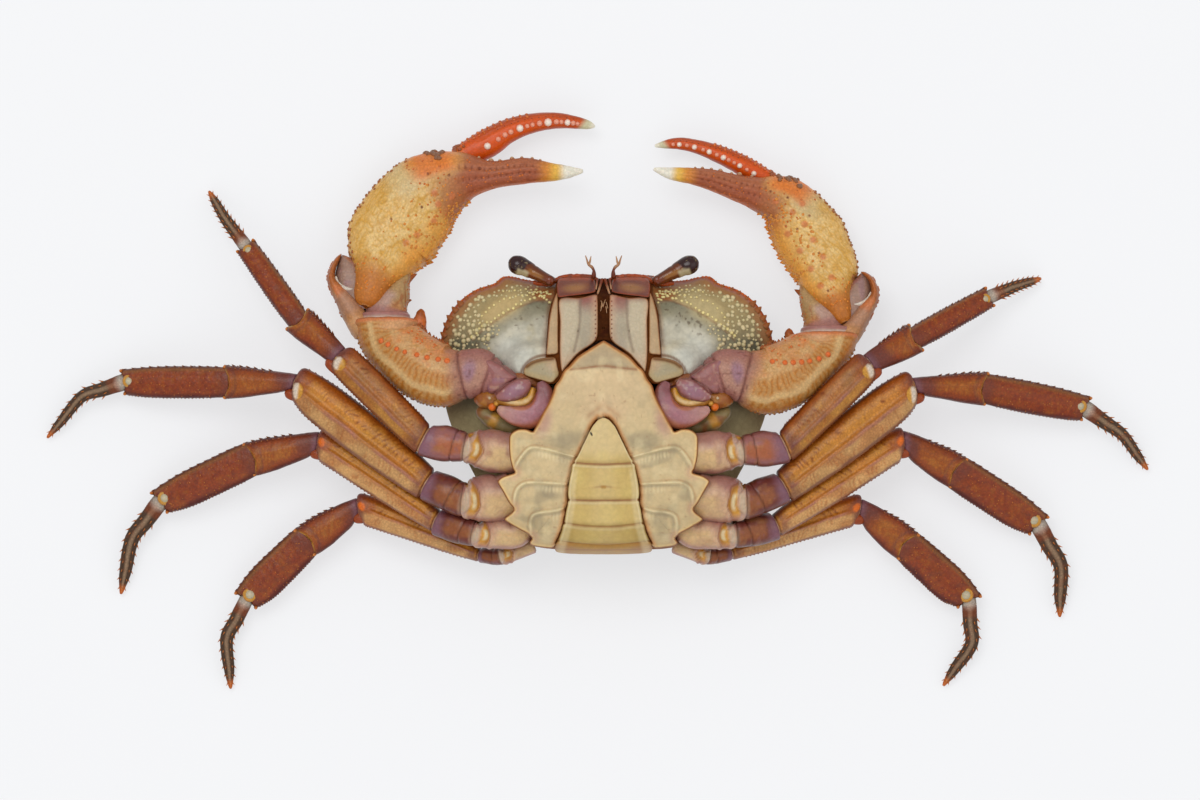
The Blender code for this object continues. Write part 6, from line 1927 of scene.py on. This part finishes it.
def make_pleon():
    """The tail flap: six sections with cut seams."""
    rows = [(-2.8, 23.7, 0.25, 0.4), (-3.1, 23.72, 0.85, 0.5), (-3.7, 23.75, 1.4, 0.55), *TAIL_STATIONS]
    stations = [(BELLY_MIDLINE, y, z, width, depth) for y, z, width, depth in rows]
    pleon = Tube(stations, 1.0, "pleon", 0.17, 5.0, across=(-1.0, 0.0, 0.0))
    x = pleon.points[..., 0] - BELLY_MIDLINE
    y = pleon.points[..., 1]
    across = np.abs(x) / pleon.width
    wobble = pleon.noise(2.0, 41)
    fine = pleon.rough(0.7, 42)
    top = fade(0.0, 0.5, pleon.top)
    pleon.paint(
        (fade(-10.5, -7.5, y) * top, "telson", 0.8),
        (fade(0.55, 0.1, across) * top, "telson", 0.35),
        (fade(-0.1, 0.7, wobble), "yellow", 0.25),
        (fade(-20.0, -21.0, y) * fade(0.55, 0.9, across + 0.08 * wobble), "tail_olive", 0.75),
        (fade(-10.8, -12.0, y) * fade(0.78, 0.92, across + 0.05 * wobble), "tail_olive", 0.45),
        (fade(-23.6, -24.2, y) * fade(0.35, 0.8, across), "tail_ochre", 0.85),
    )
    lowest = 0.0
    for number, (seam, sag) in enumerate(zip(TAIL_SUTURES, (0.28, 0.1, 0.6, 0.6))):
        line = seam - sag * (1.0 - across ** 2) + 0.05 * wobble
        gap = y - line
        cut = bell(gap, 0.15)
        pleon.paint(
            (fade(0.9, 0.2, np.abs(gap)) * top, "tail_line", 0.22),
            (cut * top, "seam_red", 0.85),
            # The pale band on the raised lip below each seam is a painted highlight.
            (bell(gap + 0.42, 0.2) * top, "ridge", 0.45),
        )
        lowest = lowest - 0.24 * cut + 0.10 * bell(gap + 0.5, 0.35)
    height = pleon.points[..., 2]
    behind = fade(-23.4, -24.0, y) * fade(18.5, 17.5, height)
    pleon.paint((fade(-23.3, -23.9, y), "tail_ochre", 0.55))
    for level in (14.6, 10.6):
        cut = behind * bell(height - level - 0.4 * across ** 2, 0.18)
        pleon.paint(
            (cut, "seam_red", 0.8),
            # The pale band below each cut on the rear face is a painted highlight, as on the seams above.
            (behind * bell(height - level + 0.6, 0.25), "ridge", 0.4),
        )
        lowest = lowest - 0.25 * cut
    crease = bell(np.hypot((y + 13.95 + 0.12 * np.abs(x)) / 0.16, x / 1.9), 1.0)
    pleon.paint(
        (crease * top, "seam_red", 0.5),
        (fade(1.2, 0.5, np.hypot(x / 0.5, (y + 14.1) / 0.35)) * top, "tail_ochre", 0.9),
        (fade(1.2, 0.7, np.hypot((x + 2.0 + 0.4 * (y + 5.4)) / 0.18, (y + 5.4) / 0.36)) * top, "black"),
        (band(0.93, 0.975, across, 0.012), "ridge", 0.7),
        (fade(0.972, 0.992, across) * fade(0.6, 0.2, pleon.top), "tail_line", 0.9),
        (fade(0.5, 0.1, pleon.left_over), "tail_ochre", 0.5),
        (fade(-19.6, -20.6, y) * top, "tail_olive", 0.35),
        (fade(-23.1, -23.4, y), "tail_ochre", 0.75),
        (fade(-23.1, -23.4, y) * fade(0.45, 0.85, across), "claw_brown", 0.35),
        (band(-24.35, -24.15, y, 0.06), "seam_red", 0.5),
        (band(0.80, 0.96, across, 0.05) * fade(-10.5, -12.0, y) * top, "ridge", 0.4),
    )
    pleon.shade(0.06 * fine + 0.05 * wobble)
    swell = 0.16 * (1.0 - across ** 2) * fade(0.0, 0.5, pleon.top)
    pleon.lift((lowest + swell) * top * fade(0.0, 1.0, pleon.along) + 0.015 * fine)
    add_piece("pleon_shell", [pleon.part()], "sternum", "pleon")


def crowned(points, base, rise):
    """A height rule with a slight dome over the middle of a plate."""
    edge = closed_outline(points, 0.5)
    loop = np.vstack([edge, edge[:1]])

    def height(x, y):
        flat = np.stack([x, y], axis=-1)
        distance = line_distance(flat, loop)
        return base(x, y) + rise * np.sqrt(np.clip(distance / 1.6, 0.0, 1.0)) - rise
    return height


def mouth_plate(half, hand, centre, base, tint, rise=0.35, spacing=0.13):
    outline = beside(hand, half)
    middle = (BELLY_MIDLINE + hand * centre[0], centre[1])
    plate = Plate(outline, middle, crowned(outline, base, rise), tint, spacing, 0.24, MOUTH_THICKNESS,
                  0.985)
    plate.x = (plate.points[..., 0] - BELLY_MIDLINE) * hand
    plate.y = plate.points[..., 1]
    return plate


def rim_lines(plate, light, dark, wide=0.42, strength=0.8):
    plate.paint(
        (fade(wide, wide * 0.4, plate.edge_distance), light, strength),
        (fade(wide * 0.36, wide * 0.12, plate.edge_distance), dark, 0.9),
    )


def make_mouth():
    """The plates over the mouth, the dark space behind them and the plates in front."""
    back_half = [
        (0.0, 20.2), (4.0, 20.3), (7.4, 19.9), (8.1, 17.4), (8.7, 15.6), (9.1, 13.6), (9.4, 9.0),
        (9.6, 7.6), (11.8, 6.7), (13.1, 5.7), (13.4, 4.7), (11.4, 3.5), (8.6, 2.8), (7.2, 3.6),
        (5.0, 6.3), (2.0, 9.2), (0.0, 10.0),
    ]

    def floor_height(x, y):
        return np.minimum(mouth_height(y), front_height(y, 11.2)) - side_fall(x) - 0.75

    def level(x, y):
        return mouth_height(y)

    def low_level(x, y):
        return mouth_height(y) - side_fall(x)

    def front_level(x, y):
        return front_height(y, 11.7)

    # The backing under the mouth plates is dark: partly the colour of the mouthparts behind them, partly
    # painted shade seen in the gaps between the plates.
    backing = Plate(whole(back_half, BELLY_MIDLINE), (BELLY_MIDLINE, 12.0), floor_height, "mouth_dark",
                    0.3, 0.3, 3.0, 0.97, 6)
    backing.paint(
        (fade(0.0, 0.6, backing.noise(0.8, 50)), "black", 0.2),
        (fade(2.4, 4.0, np.abs(backing.points[..., 0] - BELLY_MIDLINE)), "gap_brown", 0.9),
    )
    for number, (word, hand) in enumerate(SIDES.items()):
        main = mouth_plate(ISCHIUM, hand, (4.2, 11.5), level, "mouth")
        fine = main.rough(0.6, 51 + number)
        wobble = main.noise(1.6, 53 + number)
        main.paint(
            (fade(4.8, 3.2, main.x + 0.3 * wobble), "mouth_blue", 0.6),
            (fade(13.6, 17.0, main.y + 0.6 * wobble) * fade(4.8, 3.2, main.x), "mouth_mauve", 0.9),
            (fade(15.8, 17.2, main.y), "mouth_mauve", 0.7),
            (fade(2.6, 1.2, main.x - 0.25 * (11.0 - main.y) * (main.y < 11.0)), "pink_cream", 0.55),
            (fade(9.4, 7.0, main.y + 0.3 * main.x - 1.2), "pink_cream", 0.35),
            (fade(6.2, 7.1, main.x), "pink_cream", 0.45),
        )
        rim_lines(main, "outline", "gap_brown", 0.36, 0.6)
        line = [(3.75, 17.3), (3.85, 15.4), (3.9, 13.2), (4.3, 10.4), (4.8, 8.2)]
        main.groove(smooth_line(beside(hand, line)), 0.24, 0.12, "mouth_line", 0.45)
        for at in np.arange(10.4, 16.6, 0.75):
            pit = np.hypot(main.x - 1.32, main.y - at)
            main.paint((fade(0.17, 0.08, pit), "front", 0.9))
            main.points[..., 2] -= 0.08 * fade(0.2, 0.05, pit)
        main.shade(0.05 * fine + 0.04 * wobble)
        leg = mouth_plate(EXOPOD, hand, (8.2, 11.5), level, "exopod", 0.45)
        leg.paint((fade(14.0, 17.5, leg.y), "outline", 0.4))
        rim_lines(leg, "outline", "gap_brown", 0.28, 0.6)
        leg.shade(0.06 * leg.noise(1.2, 55 + number))
        side = mouth_plate(SIDE_PLATE, hand, (10.0, 5.2), low_level, "corner", 0.5)
        side.paint(
            (fade(1.3, 0.5, side.edge_distance), "corner_rim", 0.7),
            (fade(2.0, 0.6, np.hypot(side.x - 8.2, side.y - 6.2)), "pink_cream", 0.4),
        )
        arc_line = smooth_line([(8.3, 6.9), (9.9, 6.75), (11.5, 6.3), (12.6, 5.6)])
        arc_far = line_distance(np.stack([side.x, side.y], axis=-1), arc_line)
        side.paint((bell(arc_far, 0.3), "tail_line", 0.85))
        rim_lines(side, "outline", "outline_dark", 0.22, 0.6)
        side.shade(0.05 * side.noise(1.2, 57 + number))
        parts = [main.part(), leg.part(), side.part()]
        add_piece(f"maxilliped_{word}_plates", parts, "mouth", f"maxilliped_{word}")
    add_piece("mouth_hollow", [backing.part()], "hollow")
    parts = []
    for number, hand in enumerate(SIDES.values()):
        plate = mouth_plate(MOUTH_MERUS, hand, (4.4, 18.9), front_level, "front", 0.4)
        wobble = plate.noise(1.0, 60 + number)
        plate.paint(
            (fade(19.4, 18.2, plate.y + 0.3 * wobble), "front_mauve", 0.85),
            (fade(19.6, 20.3, plate.y + 0.15 * wobble), "front_edge", 0.7),
        )
        # A tan oval over the middle of each front plate is a painted highlight.
        tan_highlight = fade(1.3, 0.2, np.hypot((plate.x - 4.7) / 2.4, (plate.y - 19.0 + 0.08 * plate.x) / 0.85))
        plate.paint(
            (tan_highlight, "front_tan", 0.95),
            (fade(0.7, 0.2, np.abs(plate.x - 1.9)), "black", 0.35),
        )
        rim_lines(plate, "front_edge", "mouth_dark", 0.3, 0.6)
        plate.shade(0.10 * wobble)
        parts.append(plate.part())
        for start, end, size in (
            ((0.2, 20.1, 11.9), (1.0, 17.6, 15.0), 0.3), ((1.0, 20.2, 11.9), (1.25, 18.4, 14.4), 0.22),
        ):
            rows = []
            for at in (0.0, 0.35, 0.7, 1.0):
                x, y, z = (low + (high - low) * at for low, high in zip(start, end))
                width = size * (1.0 - 0.5 * at)
                rows.append((x, y, z + 0.3, width, width))
            rod = Tube(beside(hand, rows), hand, "front", 0.12, 2.0)
            rod.paint((fade(0.3, 0.9, rod.share), "tan", 0.8))
            parts.append(rod.part())
        ridge_line = [
            (1.2, 20.55), (2.2, 20.95), (4.2, 21.1), (6.6, 20.95), (8.0, 20.3), (9.4, 19.9), (11.6, 20.1),
        ]
        rows = beside(hand, [(x, y - 0.55, 10.4, 0.42, 0.5) for x, y in ridge_line])
        ridge = Tube(rows, hand, "front_edge", 0.16, 2.0)
        ridge.lift(0.10 * ridge.noise(0.5, 63))
        ridge.paint((fade(0.0, 0.6, ridge.noise(0.7, 64)), "front", 0.7))
        parts.append(ridge.part())
    rng = np.random.default_rng(9)
    for _ in range(BRISTLES):
        x = BELLY_MIDLINE + rng.uniform(-0.55, 0.55)
        y = rng.uniform(15.2, 17.0)
        lean = rng.uniform(-0.5, 0.5)
        rows = [
            (x, y, mouth_height(y) - 1.0, 0.06, 0.06),
            (x + lean * 0.5, y - 0.5, mouth_height(y) - 0.4, 0.05, 0.05),
            (x + lean, y - 1.3, mouth_height(y) - 0.1, 0.02, 0.02),
        ]
        parts.append(Tube(rows, 1.0, "tan", 0.12, 2.0).part())
    add_piece("mouth_front_plates", parts, "mouth", "epistome")


def make_eyes():
    """Eyes on their stalks and the small forked feelers."""
    for number, (word, hand) in enumerate(SIDES.items()):
        stalk = Tube(beside(hand, [
            (8.2, 19.5, 11.5, 0.85, 0.95), (9.4, 20.1, 11.5, 0.92, 1.0),
            (10.6, 20.75, 11.5, 1.02, 1.05), (12.0, 21.45, 11.3, 1.28, 1.2),
            (12.9, 21.95, 11.2, 1.4, 1.35), (13.6, 22.25, 11.2, 1.58, 1.5),
            (14.4, 22.55, 11.2, 1.55, 1.5), (15.1, 22.85, 11.2, 1.22, 1.2),
            (15.5, 23.0, 11.2, 0.75, 0.75), (15.65, 23.05, 11.2, 0.3, 0.3),
        ]), hand, "stalk", 0.12, 2.0)
        f, up, share = stalk.front, stalk.top, stalk.share
        wobble = stalk.noise(0.8, 70 + number)
        stalk.paint(
            (fade(0.28, 0.10, share), "front", 0.85),
            (fade(-0.1, 0.6, wobble) * (share < 0.6), "front", 0.4),
            # The gold-brown streak along the top middle of the stalk is a painted highlight.
            (band(0.25, 0.55, share, 0.06) * band(-0.5, 0.2, f, 0.2) * (up > 0), "gold_brown", 0.4),
            (fade(0.45, 0.85, f) * (share < 0.6), "mouth_dark", 0.6),
        )
        border = share + 0.13 * fade(-0.2, -0.9, f) + 0.03 * wobble
        stalk.paint((fade(0.62, 0.66, border + 0.07 * f), "cornea"))
        pale = band(0.52, 0.78, share, 0.03) * fade(-0.05, -0.4, f + 0.2 * wobble)
        stalk.paint((pale, "stalk_pale", 0.95))
        speckle = fade(0.45, 0.7, stalk.noise(0.28, 74 + number)) * (share > 0.6)
        stalk.paint((speckle, "stalk_pale", 0.45))
        stalk.lift(-0.08 * bell(share - 0.47, 0.03) + 0.02 * wobble)
        root = np.array(beside(hand, [(8.9, 19.9, 12.2)]))
        knuckle = studs(root, UP[None], 0.8, 0.35, "mouth_dark", "front", sides=18)
        add_piece(f"eye_{word}_stalk", [stalk.part(), knuckle], "eye", f"eye_{word}")
        shaft = Tube(beside(hand, [
            (1.65, 20.3, 11.1, 0.42, 0.42), (1.6, 21.0, 11.2, 0.36, 0.36),
            (1.65, 21.6, 11.3, 0.22, 0.22), (1.95, 22.1, 11.3, 0.26, 0.26),
            (2.5, 22.55, 11.3, 0.2, 0.2), (2.75, 23.3, 11.3, 0.14, 0.14),
            (3.0, 24.0, 11.2, 0.08, 0.08),
        ]), hand, "front", 0.1, 2.0)
        shaft.paint(
            (fade(0.3, 0.5, shaft.share), "tan", 0.75),
            (bell(shaft.share - 0.35, 0.03), "front", 0.8),
        )
        fork = Tube(beside(hand, [
            (2.4, 22.5, 11.3, 0.2, 0.2), (2.25, 23.0, 11.4, 0.17, 0.17),
            (2.15, 23.5, 11.5, 0.12, 0.12), (2.05, 23.9, 11.5, 0.07, 0.07),
        ]), hand, "tan", 0.1, 2.0)
        add_piece(f"antennule_{word}_shaft", [shaft.part(), fork.part()], "leg",
                  f"antennule_{word}")


LAMPS = (
    ("key", (-0.3, 0.5, 1.3), 0.7, 6.6), ("fill", (0.9, 0.1, 1.0), 1.0, 2.0),
    ("low", (-0.2, -0.8, 1.0), 1.0, 2.2),
)
FLOOR_REACH = 2.5
SKY_STRENGTH = 0.66
SENSOR_MM = 36.0
LENS_MM = 364.0
CAMERA_PLACE = (0.00041, 0.000165, 2.012)


def look_down(place):
    """The turn that points a lamp at the middle of the crab."""
    return (-Vector(place)).to_track_quat("-Z", "Y").to_euler()


def make_stage():
    """A pale floor, soft studio light and a camera straight above."""
    scene = bpy.context.scene
    scene.view_settings.view_transform = "Standard"
    ways = ((-1.0, -1.0), (1.0, -1.0), (1.0, 1.0), (-1.0, 1.0))
    corners = [(x * FLOOR_REACH, y * FLOOR_REACH, 0.0) for x, y in ways]
    data = bpy.data.meshes.new("floor")
    data.from_pydata(corners, [], [(0, 1, 2, 3)])
    material = bpy.data.materials.new("floor_paper")
    material.use_nodes = True
    shader = material.node_tree.nodes["Principled BSDF"]
    for socket, value in (
        ("Base Color", (0.29, 0.293, 0.30, 1.0)), ("Emission Color", (1.0, 1.005, 1.02, 1.0)),
        ("Emission Strength", 0.6), ("Roughness", 0.85), ("Specular IOR Level", 0.1),
    ):
        shader.inputs[socket].default_value = value
    data.materials.append(material)
    floor = bpy.data.objects.new("floor", data)
    scene.collection.objects.link(floor)
    for name, place, size, power in LAMPS:
        light = bpy.data.lights.new(name, "AREA")
        light.size = size
        light.energy = power
        lamp = bpy.data.objects.new(name, light)
        lamp.location = place
        lamp.rotation_euler = look_down(place)
        scene.collection.objects.link(lamp)
    world = bpy.data.worlds.new("studio")
    world.use_nodes = True
    background = world.node_tree.nodes["Background"]
    background.inputs["Color"].default_value = (1.0, 1.0, 1.0, 1.0)
    background.inputs["Strength"].default_value = SKY_STRENGTH
    scene.world = world
    camera_data = bpy.data.cameras.new("camera")
    camera_data.sensor_width = SENSOR_MM
    camera_data.lens = LENS_MM
    camera = bpy.data.objects.new("camera", camera_data)
    camera.location = CAMERA_PLACE
    scene.collection.objects.link(camera)
    scene.camera = camera


make_carapace()
make_sternum()
make_pleon()
make_mouth()
make_eyes()
for word in SIDES:
    make_claw(word)
    for number in (2, 3, 4, 5):
        make_leg(word, number)
make_stage()
